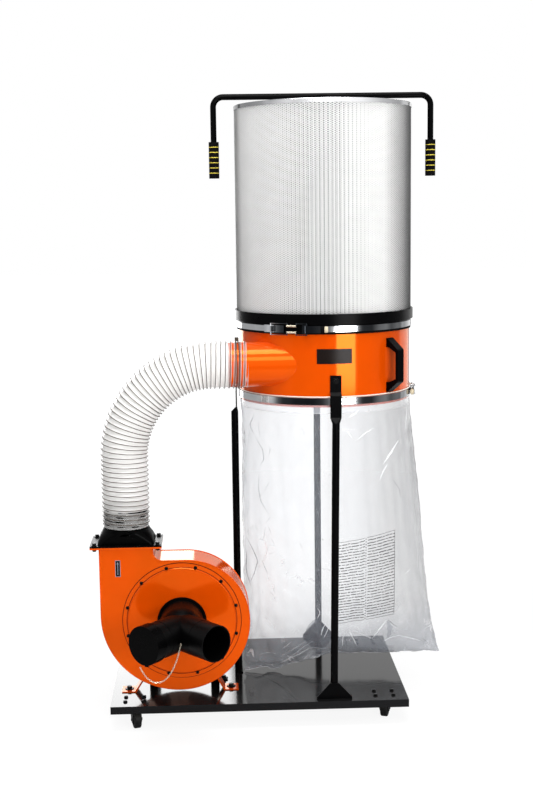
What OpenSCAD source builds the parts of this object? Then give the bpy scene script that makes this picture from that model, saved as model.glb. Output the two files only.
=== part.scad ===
// Chip extractor: a wheeled deck that carries a belt-less blower with a forked inlet on the left, and on the
// right a drum with a pleated filter cartridge above it and a clear dust bag below it.
// The front of the machine faces -Y. The floor is z = 0.

/* [Deck and casters] */
// Length of the deck
deck_l = 836; // [800:1:860]
// Depth of the deck
deck_w = 556; // [550:1:580]
// Height of the deck's top face above the floor
deck_top = 75; // [72:1:80]
// Height of the deck's folded edge
deck_edge = 22; // [16:1:30]
// Thickness of the deck's sheet
deck_t = 2.5; // [2:0.5:4]
// Diameter of the caster wheels
wheel_d = 50; // [44:1:52]
// Width of the caster wheels
wheel_w = 20; // [16:1:22]
// Horizontal offset from a caster's swivel axis to its wheel
caster_trail = 20; // [14:1:24]

/* [Drum stack] */
// Outer diameter of the drum
drum_d = 494; // [486:1:500]
// Height of the drum's lower edge
drum_bottom = 900; // [890:1:905]
// Height of the drum's upper edge, inside the filter's skirt
drum_top = 1126; // [1115:1:1127]
// Height of the seal ring's lower face
seal_z = 1101; // [1098:1:1104]
// Height of the lower face of the filter's end ring
filter_z = 1128.5; // [1128.5:0.5:1133]
// Height of the filter's upper rim
filter_top = 1732; // [1600:1:1800]
// Diameter of the filter cartridge
filter_d = 506; // [500:1:508]
// Number of pleats in the filter media
pleats = 132; // [90:2:160]
// Depth of a pleat
pleat_depth = 30; // [20:1:40]

/* [Crank] */
// Distance between the crank's two arms
crank_span = 620; // [600:1:660]
// Diameter of the crank's rod
rod_d = 17; // [14:1:18]
// Length of the crank's arms, down from the bar
arm_l = 227; // [180:1:260]
// Length of a grip
grip_l = 102; // [80:1:120]
// Diameter of a grip
grip_d = 29; // [24:1:32]

/* [Posts] */
// Diameter of the posts
post_d = 21; // [18:1:22]
// Distance from the drum's axis to a post's axis
post_r = 263; // [263:1:266]
// Lean of the front post to the right, in degrees
front_lean = 0.7; // [0:0.1:1]

/* [Blower] */
// Depth of the blower housing
blower_w = 116; // [100:1:120]
// Height of the blower's axis
blower_z = 302; // [300:1:310]
// Smallest radius of the scroll, at its top
scroll_r = 173; // [172:1:176]
// Growth of the scroll's arc radius with each quarter turn
scroll_step = 20.5; // [15:0.5:21]
// Width of the blower's outlet neck
neck_w = 148; // [140:1:150]
// Height of the top of the outlet neck
neck_top = 516; // [510:1:525]
// Diameter of the round cover
cover_d = 331; // [320:1:334]

/* [Inlets and hose] */
// Outer diameter of the two inlet branches
branch_d = 100; // [96:1:104]
// Angle of each branch from straight ahead
branch_angle = 40; // [35:1:42]
// Outer diameter of the drum's inlet pipe
pipe_d = 125; // [120:1:125]
// Height of the pipe's axis
pipe_z = 1014; // [1010:1:1020]
// Bend radius of the hose
bend_r = 250; // [220:1:260]
// Distance along the hose from one turn of its wire to the next
wire_pitch = 13.3; // [11:0.1:18]
// Diameter of the wire in the hose
wire_d = 2.4; // [2:0.1:3]

/* [Hidden] */
$fn = 96;

// The drum's axis, and the blower's axis relative to it
drum_x = 167;
drum_y = 102;
blower_x = drum_x - 424.4;
blower_y = drum_y - 178;
blower_front = blower_y - blower_w / 2;
blower_back = blower_y + blower_w / 2;
drum_r = drum_d / 2;
filter_r = filter_d / 2;

// The deck's middle
deck_x = drum_x - 210;
deck_y = drum_y - 15.5;
deck_under = deck_top - deck_t;

// Each caster: its place from the deck's middle, and the way that its wheel trails
caster_inset = 65;
caster_dx = deck_l / 2 - caster_inset;
caster_dy = deck_w / 2 - 53;
caster_front_left = [deck_x - caster_dx, deck_y - caster_dy, -75];
caster_front_right = [deck_x + caster_dx, deck_y - caster_dy, 72];
caster_back_left = [deck_x - caster_dx, deck_y + caster_dy, 120];
caster_back_right = [deck_x + caster_dx, deck_y + caster_dy, 35];
casters = [caster_front_left, caster_front_right, caster_back_left, caster_back_right];
caster_plate_t = 2.5;
race_t = 7;
king_pin_r = 4;
fork_t = 2.5;
fork_w = wheel_w + 2 * fork_t + 2;
axle_r = 4;

// The bag's collar lies on the drum, and the lower band over it
bag_t = 1.5;
collar_r = drum_r + bag_t + 0.3;
band_t = 2;
lower_band_z = 906.5;
lower_band_h = 19;
upper_band_z = 1107.5;
upper_band_h = 16;
skirt_t = 3.5;
lower_band_r = collar_r;
upper_band_r = drum_r + skirt_t;
ring_h = 28;
media_r = filter_r - 4.5;

// Each latch: the azimuth of its middle, and the side that its lever points to. The lever's pin stands at an
// angle from the middle and a distance outside the band.
upper_latch = [246, 1];
lower_latch = [4, -1];
latch_gap = [-28, 25];
latch_h = 20;
pin_turn = 7.73;
pin_out = 9;
pin_r = 1.5;

// The top of the scroll's first arc, and the arcs' radii
arc_r = [for (i = [0:2]) scroll_r + 4.25 + i * scroll_step];
arc_x = [blower_x + 12.75, blower_x - 7.75, blower_x - 7.75];
arc_z = [blower_z - 4.25, blower_z - 4.25, blower_z + 16.25];
neck_left = arc_x[2] - arc_r[2];
neck_x = neck_left + neck_w / 2;
neck_fillet = 27;

// The inlet's fork: where its branches meet, and their length
fork_y = blower_front - 96;
branch_l = 148;

// The hose runs up from the outlet, bends, and meets the drum's pipe in one upright plane
outlet_x = neck_x;
outlet_y = blower_y;
flange_t = 5;
spigot_top = 623;
spigot_r = pipe_d / 2 - 0.3;
hose_z0 = 566;
hose_r = pipe_d / 2;
hose_film = 1;
hose_up = pipe_z - bend_r - hose_z0;
hose_bend = bend_r * PI / 2;
hose_run = 98;
hose_l = hose_up + hose_bend + hose_run;
pipe_end = 296;
run_turn = 1.45;
clamp_place = bend_r + hose_run - 28;

// The wire helix is drawn in straight steps whose middles still clear the pipe and the spigot
wire_steps = 16;
wire_line_r = (hose_r + 0.1 + wire_d / 2) / cos(180 / wire_steps);

// The crank's rod and its bends
crank_z = filter_top + 26;
crank_bend = 28;
cap_plate_z = filter_top - 6;

// The bag's cross sections: height, shift to the right, half width, half depth, shift to the front, and how
// far the left side hangs down
bag_sections = [
    [124, 46, 291, 5, 35, 44],
    [135, 46, 292, 22, 31, 42],
    [155, 45, 292, 68, 23, 35],
    [190, 42, 289, 122, 14, 25],
    [240, 38, 285, 170, 5, 15],
    [333, 34, 277, 208, 0, 5],
    [457, 28, 272, 220, 0, 0],
    [579, 22, 268, 228, 0, 0],
    [761, 12, 253, 242, 0, 0],
    [860, 3, 248, 247, 0, 0],
    [896, 0, collar_r, collar_r, 0, 0],
    [926, 0, collar_r, collar_r, 0, 0]
];
bag_sides = 72;
// The drop grows from nothing at one distance from the drum's axis to all of it at the other
bag_drop_from = 50;
bag_drop_to = -180;

motor_r = 72;
motor_l = 190;
stand_top = 218;

// Lifts a flat shape that faces the front into a plate from y0 back to y1
module plate_xz(y0, y1) {
    translate([0, y1, 0]) rotate([90, 0, 0]) linear_extrude(height = y1 - y0) children();
}

// A closed ring with square edges
module ring(inner, outer, height) {
    rotate_extrude($fn = 180) translate([inner, 0]) square([outer - inner, height]);
}

// A tube that stands on the floor plane
module tube(outer, wall, height) {
    difference() {
        cylinder(r = outer, h = height);
        translate([0, 0, -1]) cylinder(r = outer - wall, h = height + 2);
    }
}

// A solid through a list of closed rings, each with the same even number of points. Each end is closed with
// strips across the ring, so that a curved end works as well as a flat one.
module loft(rings) {
    n = len(rings[0]);
    m = len(rings);
    strips = [for (i = [0:n / 2 - 1])
        i == 0 ? [0, 1, n - 1] : i == n / 2 - 1 ? [i, i + 1, i + 2] : [i, i + 1, n - 1 - i, n - i]];
    faces = concat(
        strips,
        [for (k = [0:m - 2], i = [0:n - 1])
            let (j = (i + 1) % n) [k * n + i, (k + 1) * n + i, (k + 1) * n + j, k * n + j]],
        [for (s = strips) [for (i = [len(s) - 1:-1:0]) (m - 1) * n + s[i]]]
    );
    polyhedron(points = [for (r = rings, p = r) p], faces = faces, convexity = 6);
}

// Places a thing at the drum's axis, turned to an azimuth counted anticlockwise from +X
module at_drum(azimuth = 0) {
    translate([drum_x, drum_y, 0]) rotate([0, 0, azimuth]) children();
}

// Places a thing in the hose's plane: +X runs from the outlet to the drum
module along_hose() {
    translate([outlet_x, outlet_y, 0]) rotate([0, 0, run_turn]) children();
}

module base_deck() {
    color("dimgray") translate([deck_x, deck_y, 0]) difference() {
        translate([-deck_l / 2, -deck_w / 2, deck_top - deck_edge]) cube([deck_l, deck_w, deck_edge]);
        translate([-deck_l / 2 + deck_t, -deck_w / 2 + deck_t, deck_top - deck_edge - 1])
            cube([deck_l - 2 * deck_t, deck_w - 2 * deck_t, deck_edge + 1 - deck_t]);
    }
}

// The four caster plates under the deck's sheet, each with the upper half of its swivel race and its king pin
module caster_plates() {
    color("silver") for (c = casters) translate([c[0], c[1], deck_under - caster_plate_t]) {
        translate([-34, -26, 0]) cube([68, 52, caster_plate_t]);
        translate([0, 0, -3]) cylinder(r1 = 18, r2 = 22, h = 3);
        translate([0, 0, -4 - race_t]) cylinder(r = king_pin_r, h = race_t + 4);
    }
}

// The swivelling fork: a race disc, a bridge and two cheeks, with the axle through them
module caster_fork(c) {
    top = deck_under - caster_plate_t - 3.3;
    axle_z = wheel_d / 2;
    color("silver") translate([c[0], c[1], 0]) rotate([0, 0, c[2]]) {
        translate([0, 0, top - race_t]) difference() {
            cylinder(r = 21, h = race_t);
            translate([0, 0, -1]) cylinder(r = king_pin_r + 0.3, h = race_t + 2);
        }
        for (side = [-1, 1]) translate([0, side * (fork_w - fork_t) / 2, 0])
            plate_xz(-fork_t / 2, fork_t / 2) difference() {
                hull() {
                    translate([caster_trail, axle_z]) circle(r = 10);
                    translate([-16, top - race_t]) square([34, 1]);
                }
                translate([caster_trail, axle_z]) circle(r = axle_r);
            }
        translate([caster_trail, 0, axle_z]) rotate([90, 0, 0])
            cylinder(r = axle_r, h = fork_w + 5, center = true);
    }
}

// The wheel: a tyre with rounded shoulders on a narrower hub
module caster_wheel(c) {
    shoulder = 4;
    color("gray") translate([c[0], c[1], 0]) rotate([0, 0, c[2]]) translate([caster_trail, 0, wheel_d / 2])
        rotate([90, 0, 0]) rotate_extrude() {
            translate([axle_r + 0.3, -wheel_w / 2]) square([7, wheel_w]);
            translate([axle_r + 3, -wheel_w / 4]) square([wheel_d / 2 - shoulder - axle_r - 3, wheel_w / 2]);
            translate([wheel_d / 2 - 9, 0]) intersection() {
                square([9, wheel_w], center = false);
                union() {
                    square([9 - shoulder, wheel_w / 2]);
                    square([9, wheel_w / 2 - shoulder]);
                    translate([9 - shoulder, wheel_w / 2 - shoulder]) circle(r = shoulder, $fn = 32);
                }
            }
            translate([wheel_d / 2 - 9, 0]) mirror([0, 1]) {
                square([9 - shoulder, wheel_w / 2]);
                square([9, wheel_w / 2 - shoulder]);
                translate([9 - shoulder, wheel_w / 2 - shoulder]) circle(r = shoulder, $fn = 32);
            }
        }
}

// A post: a tube flattened at its top, which steps in over the band and lies on the drum.
// Its folded foot is a gusset in front of the tube with a flange on the deck. The tube may lean sideways.
module post(lean = 0) {
    flat_t = 4;
    flat_w = 31;
    tube_top = 858;
    flat_z = 872;
    step_z = 933;
    post_top = 988;
    outer_flat = drum_r + 9;
    foot_w = 100;
    foot_h = 45;
    foot_t = 3;
    color([0.08, 0.08, 0.09]) translate([0, 0, deck_top]) {
        rotate([-lean, 0, 0]) translate([0, 0, -deck_top]) {
            translate([post_r, 0, deck_top + 1]) cylinder(d = post_d, h = tube_top - deck_top - 1);
            hull() {
                translate([post_r, 0, tube_top - 1]) cylinder(d = post_d - 0.4, h = 1, $fn = 32);
                translate([outer_flat, -flat_w / 2, flat_z]) cube([flat_t, flat_w, 1]);
            }
            translate([outer_flat, -flat_w / 2, flat_z]) cube([flat_t, flat_w, step_z - flat_z]);
            hull() {
                translate([outer_flat, -flat_w / 2, step_z - 1]) cube([flat_t, flat_w, 1]);
                translate([drum_r, -flat_w / 2, step_z + 8]) cube([flat_t, flat_w, 1]);
            }
            translate([drum_r, -flat_w / 2, step_z + 8]) cube([flat_t, flat_w, post_top - step_z - 8]);
        }
        translate([post_r + post_d / 2 - 1, 0, 0]) rotate([90, 0, 90])
            linear_extrude(height = foot_t) polygon([
                [-foot_w / 2, 0], [foot_w / 2, 0], [foot_w / 2, 5], [post_d / 2 + 3, foot_h],
                [-post_d / 2 - 3, foot_h], [-foot_w / 2, 5]
            ]);
        translate([post_r - 12, -foot_w / 2, 0]) cube([post_d / 2 + 13, foot_w, foot_t]);
    }
}

// The drum: an open tube with a round opening where the pipe joins it from the side
module drum_ring() {
    color([0.9, 0.3, 0.02]) difference() {
        at_drum() translate([0, 0, drum_bottom]) {
            tube(drum_r, 2, drum_top - drum_bottom);
        }
        along_hose() translate([pipe_end, 0, pipe_z]) rotate([0, 90, 0])
            cylinder(r = pipe_d / 2 - 2, h = 300);
    }
}

// The pipe ends where it meets the drum's wall
module inlet_pipe() {
    color([0.95, 0.4, 0.05]) difference() {
        along_hose() translate([pipe_end, 0, pipe_z]) rotate([0, 90, 0]) difference() {
            cylinder(r = pipe_d / 2, h = 250);
            translate([0, 0, -1]) cylinder(r = pipe_d / 2 - 2, h = 252);
        }
        at_drum() translate([0, 0, drum_bottom]) cylinder(r = drum_r, h = drum_top - drum_bottom);
    }
}

// The carrying handle: a moulded bridge with two pads on the drum and sloping legs
module drum_handle() {
    low = 932;
    high = 1083;
    width = 26;
    out = drum_r + 41;
    bar = 8;
    color([0.08, 0.08, 0.08]) difference() {
        at_drum(-47.5) plate_xz(-width / 2, width / 2) difference() {
            polygon([
                [drum_r - 6, low], [drum_r + 3, low], [out - 2, low + 29], [out, low + 33],
                [out, high - 33], [out - 2, high - 29], [drum_r + 3, high], [drum_r - 6, high]
            ]);
            polygon([
                [drum_r - 7, low + 28], [drum_r + 9, low + 28], [out - bar, low + 39],
                [out - bar, high - 39], [drum_r + 9, high - 25], [drum_r - 7, high - 25]
            ]);
        }
        at_drum() translate([0, 0, low - 1]) cylinder(r = drum_r, h = high - low + 2);
    }
}

// The plain plate on the drum's front
module name_plate() {
    plate_w = 97;
    plate_h = 41;
    color([0.05, 0.04, 0.04]) intersection() {
        at_drum() translate([0, 0, 1040.5 - plate_h / 2]) difference() {
            cylinder(r = drum_r + 1, h = plate_h, $fn = 180);
            translate([0, 0, -1]) cylinder(r = drum_r, h = plate_h + 2, $fn = 180);
        }
        translate([drum_x + 8 - plate_w / 2, drum_y - drum_r - 10, 1000]) cube([plate_w, 60, 80]);
    }
}

module seal_ring() {
    color([0.03, 0.03, 0.03]) at_drum() translate([0, 0, seal_z])
        ring(drum_r, drum_r + 4.2, upper_band_z - seal_z);
}

// A plate bent round the drum's axis, between two lengths along a ring of radius r
module arc_plate(r, t, height, from, to) {
    turn = 180 / PI / r;
    rotate([0, 0, from * turn]) rotate_extrude(angle = (to - from) * turn, $fn = 180)
        translate([r, -height / 2]) square([t, height]);
}

// A band round the stack, open at its latch. A plate with a hook stands on one end, and two ears for the
// lever on the other. A wire loop with a spring in each of its sides pulls the hook towards the ears.
module band(inner, z, height, latch) {
    out = inner + band_t;
    turn = 180 / PI / out;
    wire = 1.2;
    wire_z = 15.5;
    spring_z = 8.7;
    loop = 53.5;
    ear_z = latch_h / 2 + 0.3;
    color("silver") at_drum(latch[0]) mirror([0, latch[1] < 0 ? 1 : 0, 0]) translate([0, 0, z + height / 2]) {
        difference() {
            translate([0, 0, -height / 2]) ring(inner, out, height);
            translate([inner - 9, latch_gap[0], -height]) cube([20, latch_gap[1] - latch_gap[0], 2 * height]);
        }
        arc_plate(out - 1, 3.5, latch_h, latch_gap[0] - 64, latch_gap[0]);
        rotate([0, 0, -63 * turn]) translate([out - 0.5, 0, -8]) cube([15, 3, 16]);
        arc_plate(out - 1, 3.5, latch_h, latch_gap[1], latch_gap[1] + 22);
        for (side = [-1, 1]) difference() {
            rotate([0, 0, 36 * turn]) translate([out - 0.5, -8, side * (ear_z + 1) - 1]) cube([16, 16, 2]);
            rotate([0, 0, pin_turn]) translate([out + pin_out, 0, side * ear_z - 3])
                cylinder(r = pin_r + 0.15, h = 6, $fn = 32);
        }
        rotate([0, 0, -11.5 * turn]) translate([out + 7.3, 0, 0]) {
            translate([0, -loop, -wire_z]) cylinder(r = wire + 0.2, h = 2 * wire_z, $fn = 24);
            for (side = [-1, 1]) {
                translate([0, -loop - 1, side * wire_z]) rotate([-90, 0, 0])
                    cylinder(r = wire, h = loop - 3.5, $fn = 24);
                translate([0, -4.5, side * 12]) translate([0, 0, -5])
                    cylinder(r = wire + 0.2, h = 10, $fn = 24);
                translate([0, -5.5, side * spring_z]) rotate([-90, 0, 0]) cylinder(r = 3, h = 29, $fn = 32);
                translate([0, 22.5, side * 12]) translate([0, 0, -5])
                    cylinder(r = wire + 0.2, h = 10, $fn = 24);
                translate([0, 21.5, side * wire_z]) rotate([-90, 0, 0])
                    cylinder(r = wire, h = loop - 20.5, $fn = 24);
                translate([0, loop, side * 13.8 - 2.9]) cylinder(r = wire + 0.2, h = 5.8, $fn = 24);
            }
        }
    }
}

// The latch's lever: it turns on a pin in the ears and lies back along the band when it is shut.
// A narrow tang at its end carries the grip.
module latch_lever(inner, z, height, latch) {
    plate_l = 43;
    color("silver") at_drum(latch[0]) mirror([0, latch[1] < 0 ? 1 : 0, 0]) rotate([0, 0, pin_turn])
        translate([inner + band_t + pin_out, 0, z + height / 2]) rotate([0, 0, 7.2]) {
            cylinder(r = pin_r, h = 26, center = true, $fn = 32);
            cylinder(r = 4, h = latch_h - 0.4, center = true, $fn = 32);
            translate([-1.5, 0, -latch_h / 2 + 0.2]) cube([3, plate_l, latch_h - 0.4]);
            translate([-1, plate_l - 1, -4]) cube([2, 19, 8]);
        }
}

// The black end ring at the foot of the filter: a body round the media and a skirt over the drum
module filter_end_ring() {
    body_r = drum_r + 10.5;
    trough_r = media_r - pleat_depth - 9;
    color([0.05, 0.05, 0.05]) at_drum() rotate_extrude($fn = 180) polygon([
        [drum_r, upper_band_z], [upper_band_r, upper_band_z], [upper_band_r, filter_z],
        [body_r, filter_z], [body_r, filter_z + ring_h], [filter_r - 0.5, filter_z + ring_h],
        [filter_r - 0.5, filter_z + 6], [trough_r, filter_z + 6], [trough_r, filter_z], [drum_r, filter_z]
    ]);
}

// One closed line of pleats between two radii, shifted inwards by the thickness of the media
function pleat_points(outer, inner) = [
    for (i = [0:2 * pleats - 1]) let (r = i % 2 == 0 ? outer : inner, a = i * 180 / pleats)
        [r * cos(a), r * sin(a)]
];

// The pleated media: one folded sheet, closed into a ring
module filter_media() {
    sheet = 5;
    color("white") at_drum() translate([0, 0, filter_z + 6])
        linear_extrude(height = cap_plate_z - filter_z - 6) difference() {
            polygon(pleat_points(media_r, media_r - pleat_depth));
            polygon(pleat_points(media_r - sheet, media_r - pleat_depth - sheet));
        }
}

// The tube that holds the media from inside
module filter_core() {
    color("gainsboro") at_drum() translate([0, 0, filter_z + 6])
        tube(media_r - pleat_depth - 5, 2, cap_plate_z - filter_z - 6);
}

// The filter's cap: a plate with a rolled rim, and a bearing for the crank's shaft
module filter_cap() {
    color("silver") at_drum() rotate_extrude($fn = 180) {
        translate([8.3, cap_plate_z]) square([filter_r - 8.3, 2]);
        translate([filter_r - 1.5, filter_top - 12]) square([1.5, 10]);
        translate([filter_r - 2.5, filter_top - 2.5]) circle(r = 2.5, $fn = 32);
        translate([filter_r - 5, cap_plate_z]) square([2.5, filter_top - cap_plate_z - 2.5]);
        translate([8.3, cap_plate_z]) square([18, 8]);
    }
}

// The crank's rod: a bar across the top with an arm bent down at each end
module crank_bar() {
    reach = crank_span / 2;
    color([0.1, 0.1, 0.1]) at_drum() {
        translate([-reach + crank_bend, 0, crank_z]) rotate([0, 90, 0])
            cylinder(d = rod_d, h = crank_span - 2 * crank_bend);
        for (side = [0, 1]) mirror([side, 0, 0]) {
            translate([reach - crank_bend, 0, crank_z - crank_bend]) rotate([90, 0, 0])
                rotate_extrude(angle = 90) translate([crank_bend, 0]) circle(d = rod_d, $fn = 48);
            translate([reach, 0, crank_z - arm_l + 3]) cylinder(d = rod_d, h = arm_l - crank_bend - 3);
        }
    }
}

// The hub that clamps the bar to the shaft through the cap
module crank_hub() {
    color([0.1, 0.1, 0.1]) at_drum() difference() {
        union() {
            translate([0, 0, cap_plate_z - 20]) cylinder(r = 8, h = 30);
            translate([0, 0, cap_plate_z + 8.5]) cylinder(r = 17, h = crank_z - cap_plate_z - 6);
        }
        translate([-30, 0, crank_z]) rotate([0, 90, 0]) cylinder(d = rod_d, h = 60);
    }
}

// A foam grip on the end of an arm
module crank_grip(side) {
    color([0.06, 0.06, 0.06]) at_drum() translate([side * crank_span / 2, 0, crank_z - arm_l])
        difference() {
            cylinder(d = grip_d, h = grip_l);
            translate([0, 0, 3]) cylinder(d = rod_d, h = grip_l);
        }
}

// A quarter of a disc, between one of its horizontal and one of its upright radii
module quarter(x, z, r, dx, dz) {
    translate([x, z]) intersection() {
        circle(r = r, $fn = 180);
        translate([dx > 0 ? 0 : -r, dz > 0 ? 0 : -r]) square(r);
    }
}

// The scroll's side view, moved inwards by an inset: three growing quarter arcs, the neck, and the hollow
// corner between the neck and the first arc
module scroll_outline(inset = 0) {
    arc_top = arc_z[0] + arc_r[0];
    quarter(arc_x[0], arc_z[0], arc_r[0] - inset, 1, 1);
    quarter(arc_x[1], arc_z[1], arc_r[1] - inset, 1, -1);
    quarter(arc_x[2], arc_z[2], arc_r[2] - inset, -1, -1);
    translate([neck_left + inset, arc_z[0]]) square([arc_x[0] - neck_left - inset, arc_r[0] - inset]);
    translate([neck_left + inset, blower_z]) square([neck_w - 2 * inset, neck_top + inset - blower_z]);
    difference() {
        translate([neck_left + inset, blower_z])
            square([neck_w + neck_fillet - inset, arc_top + neck_fillet - blower_z]);
        translate([neck_left + neck_w + neck_fillet, arc_top + neck_fillet]) circle(r = neck_fillet + inset);
    }
}

// The welded blower housing: two side plates and the wrap between them, with a flange round the top of its
// neck, an open outlet, and the opening that the cover closes
module blower_housing() {
    wall = 3;
    color([0.9, 0.3, 0.02]) difference() {
        union() {
            plate_xz(blower_front, blower_back) scroll_outline();
            translate([neck_x - 100, blower_y - 63, neck_top - flange_t]) cube([200, 126, flange_t]);
        }
        plate_xz(blower_front + wall, blower_back - wall) scroll_outline(wall);
        translate([blower_x, blower_front - 1, blower_z]) rotate([-90, 0, 0]) cylinder(r = 148, h = wall + 2);
    }
}

// The bolted cover: a disc with a pressed step, and the hole for the inlet
module blower_cover() {
    color([0.92, 0.32, 0.02]) translate([blower_x, blower_front, blower_z]) rotate([90, 0, 0])
        rotate_extrude($fn = 180) polygon([
            [58, 0], [cover_d / 2, 0], [cover_d / 2, 2.5], [153, 2.5], [150, 5.5], [58, 5.5]
        ]);
}

// Puts a piece with its Z axis along one branch of the inlet, starting where the two meet
module along_branch(side) {
    translate([blower_x, fork_y, blower_z]) rotate([90, 0, side * branch_angle]) children();
}

// The forked inlet: a domed stem with two open branches. The last part of each branch is turned a little
// smaller outside and wider inside than the rest, and takes the hose.
module inlet_fork() {
    stem_r = 61;
    spigot_l = 60;
    relief = 0.6;
    wall = 3;
    front = blower_front - 5.5;
    color([0.04, 0.04, 0.04]) difference() {
        union() {
            translate([blower_x, front, blower_z]) rotate([90, 0, 0]) {
                cylinder(r = stem_r, h = front - fork_y - 20);
                cylinder(r = stem_r + 8, h = 4);
            }
            translate([blower_x, fork_y + 20, blower_z]) sphere(r = stem_r);
            for (side = [-1, 1]) along_branch(side) {
                cylinder(r = branch_d / 2 + relief, h = branch_l - spigot_l);
                cylinder(d = branch_d, h = branch_l);
            }
        }
        translate([blower_x, front + 1, blower_z]) rotate([90, 0, 0])
            cylinder(r = stem_r - wall, h = front - fork_y - 19);
        for (side = [-1, 1]) along_branch(side) {
            cylinder(r = branch_d / 2 - wall - relief, h = branch_l);
            translate([0, 0, branch_l - spigot_l]) cylinder(r = branch_d / 2 - wall, h = spigot_l + 1);
        }
    }
}

// The push-on cap of the left branch, with the lug for its chain
module inlet_cap() {
    cap_l = 34;
    color([0.04, 0.04, 0.04]) along_branch(-1) {
        difference() {
            translate([0, 0, branch_l - cap_l + 4]) cylinder(d = branch_d + 7, h = cap_l);
            translate([0, 0, branch_l - cap_l]) cylinder(d = branch_d, h = cap_l);
        }
        translate([0, -branch_d / 2 - 3, branch_l - 8]) rotate([90, 0, 0]) cylinder(r = 6, h = 6);
    }
}

// Points of a rectangle with rounded corners, or of a circle when the sides are equal to the corners
function rounded_ring(w, d, r, z, n = 64) = [
    for (i = [0:n - 1]) let (a = (i + 0.5) * 360 / n)
        [r * cos(a) + sign(cos(a)) * (w / 2 - r), r * sin(a) + sign(sin(a)) * (d / 2 - r), z]
];

// The outlet adapter: a bolted flange, a hood that goes from square to round, and the hose's spigot
module outlet_adapter() {
    wall = 2.5;
    top_r = spigot_r + 2;
    hood = [
        [160, 104, 8, 1], [158, 106, 20, 12], [148, 112, 38, 26], [134, 120, 55, 38],
        [2 * top_r, 2 * top_r, top_r, 46]
    ];
    color([0.04, 0.04, 0.04]) translate([outlet_x, outlet_y, neck_top]) difference() {
        union() {
            loft([for (s = hood) rounded_ring(s[0], s[1], s[2], s[3])]);
            translate([-100, -63, 0]) cube([200, 126, flange_t]);
            translate([0, 0, 40]) cylinder(r = spigot_r, h = spigot_top - neck_top - 40);
        }
        loft([for (s = hood) rounded_ring(s[0] - 2 * wall, s[1] - 2 * wall, s[2] - wall, s[3] * 1.1 - 3)]);
        translate([0, 0, 30]) cylinder(r = spigot_r - wall, h = spigot_top - neck_top);
    }
}

// The hose's film: a tube up from the spigot, a bend, and a run onto the drum's pipe
module hose() {
    outer = hose_r + hose_film;
    color([0.97, 0.96, 0.94]) along_hose() {
        translate([0, 0, hose_z0]) tube(outer, hose_film, hose_up);
        translate([bend_r, 0, pipe_z - bend_r]) rotate([90, 0, 0]) rotate([0, 0, 90])
            rotate_extrude(angle = 90) translate([bend_r, 0]) difference() {
                circle(r = outer);
                circle(r = hose_r);
            }
        translate([bend_r, 0, pipe_z]) rotate([0, 90, 0]) tube(outer, hose_film, hose_run);
    }
}

// The middle line of the hose at a distance s from its lower end, and its direction in the hose's plane
function hose_angle(s) = s < hose_up ? 90 : max(0, 90 - (s - hose_up) / bend_r * 180 / PI);
function hose_at(s) =
    s < hose_up ? [0, hose_z0 + s]
    : s < hose_up + hose_bend
        ? [bend_r - bend_r * sin(hose_angle(s)), pipe_z - bend_r + bend_r * cos(hose_angle(s))]
    : [bend_r + s - hose_up - hose_bend, pipe_z];

// A point of the wire: turn a, at a radius r from the hose's middle line
function wire_point(s, a, r) = let (c = hose_at(s), t = hose_angle(s))
    [c[0] - r * cos(a) * sin(t), r * sin(a), c[1] + r * cos(a) * cos(t)];

// The wire helix that stiffens the hose
module hose_wire() {
    turns = floor((hose_l - 8) / wire_pitch);
    color([0.6, 0.57, 0.53]) along_hose() loft([
        for (i = [0:turns * wire_steps]) let (s = 4 + i * wire_pitch / wire_steps, a = i * 360 / wire_steps)
            [for (k = [0:90:270])
                wire_point(s + wire_d / 2 * sin(k), a, wire_line_r + wire_d / 2 * cos(k))]
    ]);
}

// The double-wire clamp that holds the hose on the drum's pipe, with its screw on top
module hose_clamp() {
    clamp_r = wire_line_r + wire_d / 2;
    wire = 1.2;
    color("silver") along_hose() translate([clamp_place, 0, pipe_z]) {
        for (side = [-1, 1]) translate([side * 3.5, 0, 0]) rotate([0, 90, 0])
            rotate_extrude($fn = 120) translate([clamp_r + wire + 0.1, 0]) circle(r = wire, $fn = 24);
        translate([-5.5, -9, clamp_r + 0.3]) cube([11, 4, 9]);
        translate([-5.5, 7, clamp_r + 0.3]) cube([11, 4, 9]);
        translate([0, -16, clamp_r + 5.5]) rotate([-90, 0, 0]) cylinder(r = 2.2, h = 36);
    }
}

// A strap foot: a flange on the deck and a sloping leg up to the scroll
module strap_foot(x0, x1, x2, z2, y, depth) {
    t = 3;
    thick = sign(x0 - x1) * t * 1.2;
    translate([min(x0, x1), y, deck_top]) cube([abs(x1 - x0), depth, t]);
    plate_xz(y, y + depth) polygon([
        [x1, deck_top], [x1 + thick, deck_top + t], [x2 + thick, z2 + t], [x2, z2]
    ]);
}

// The two orange straps that stand the housing on the deck. Their legs end at the housing's wrap.
module blower_feet() {
    depth = 46;
    color([0.85, 0.28, 0.04]) difference() {
        union() {
            strap_foot(blower_x - 178, blower_x - 137, blower_x - 103, 128, blower_y - 8, depth);
            strap_foot(blower_x + 156, blower_x + 115, blower_x + 85, 128, blower_y - 8, depth);
        }
        plate_xz(blower_front, blower_back) scroll_outline();
    }
}

// The black stand under the motor: four legs with a foot flange each, and a top plate
module motor_stand() {
    half = 102;
    leg = 25;
    front = blower_back + 12;
    back = blower_back + 175;
    color([0.08, 0.08, 0.08]) {
        for (x = [-half, half - leg], y = [front, back - leg]) translate([blower_x + x, y, deck_top]) {
            cube([leg, leg, stand_top - deck_top]);
            translate([leg - 1, 0, 0]) cube([leg, leg, 3]);
        }
        translate([blower_x - half, front, stand_top - 4]) cube([2 * half, back - front, 4]);
    }
}

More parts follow.
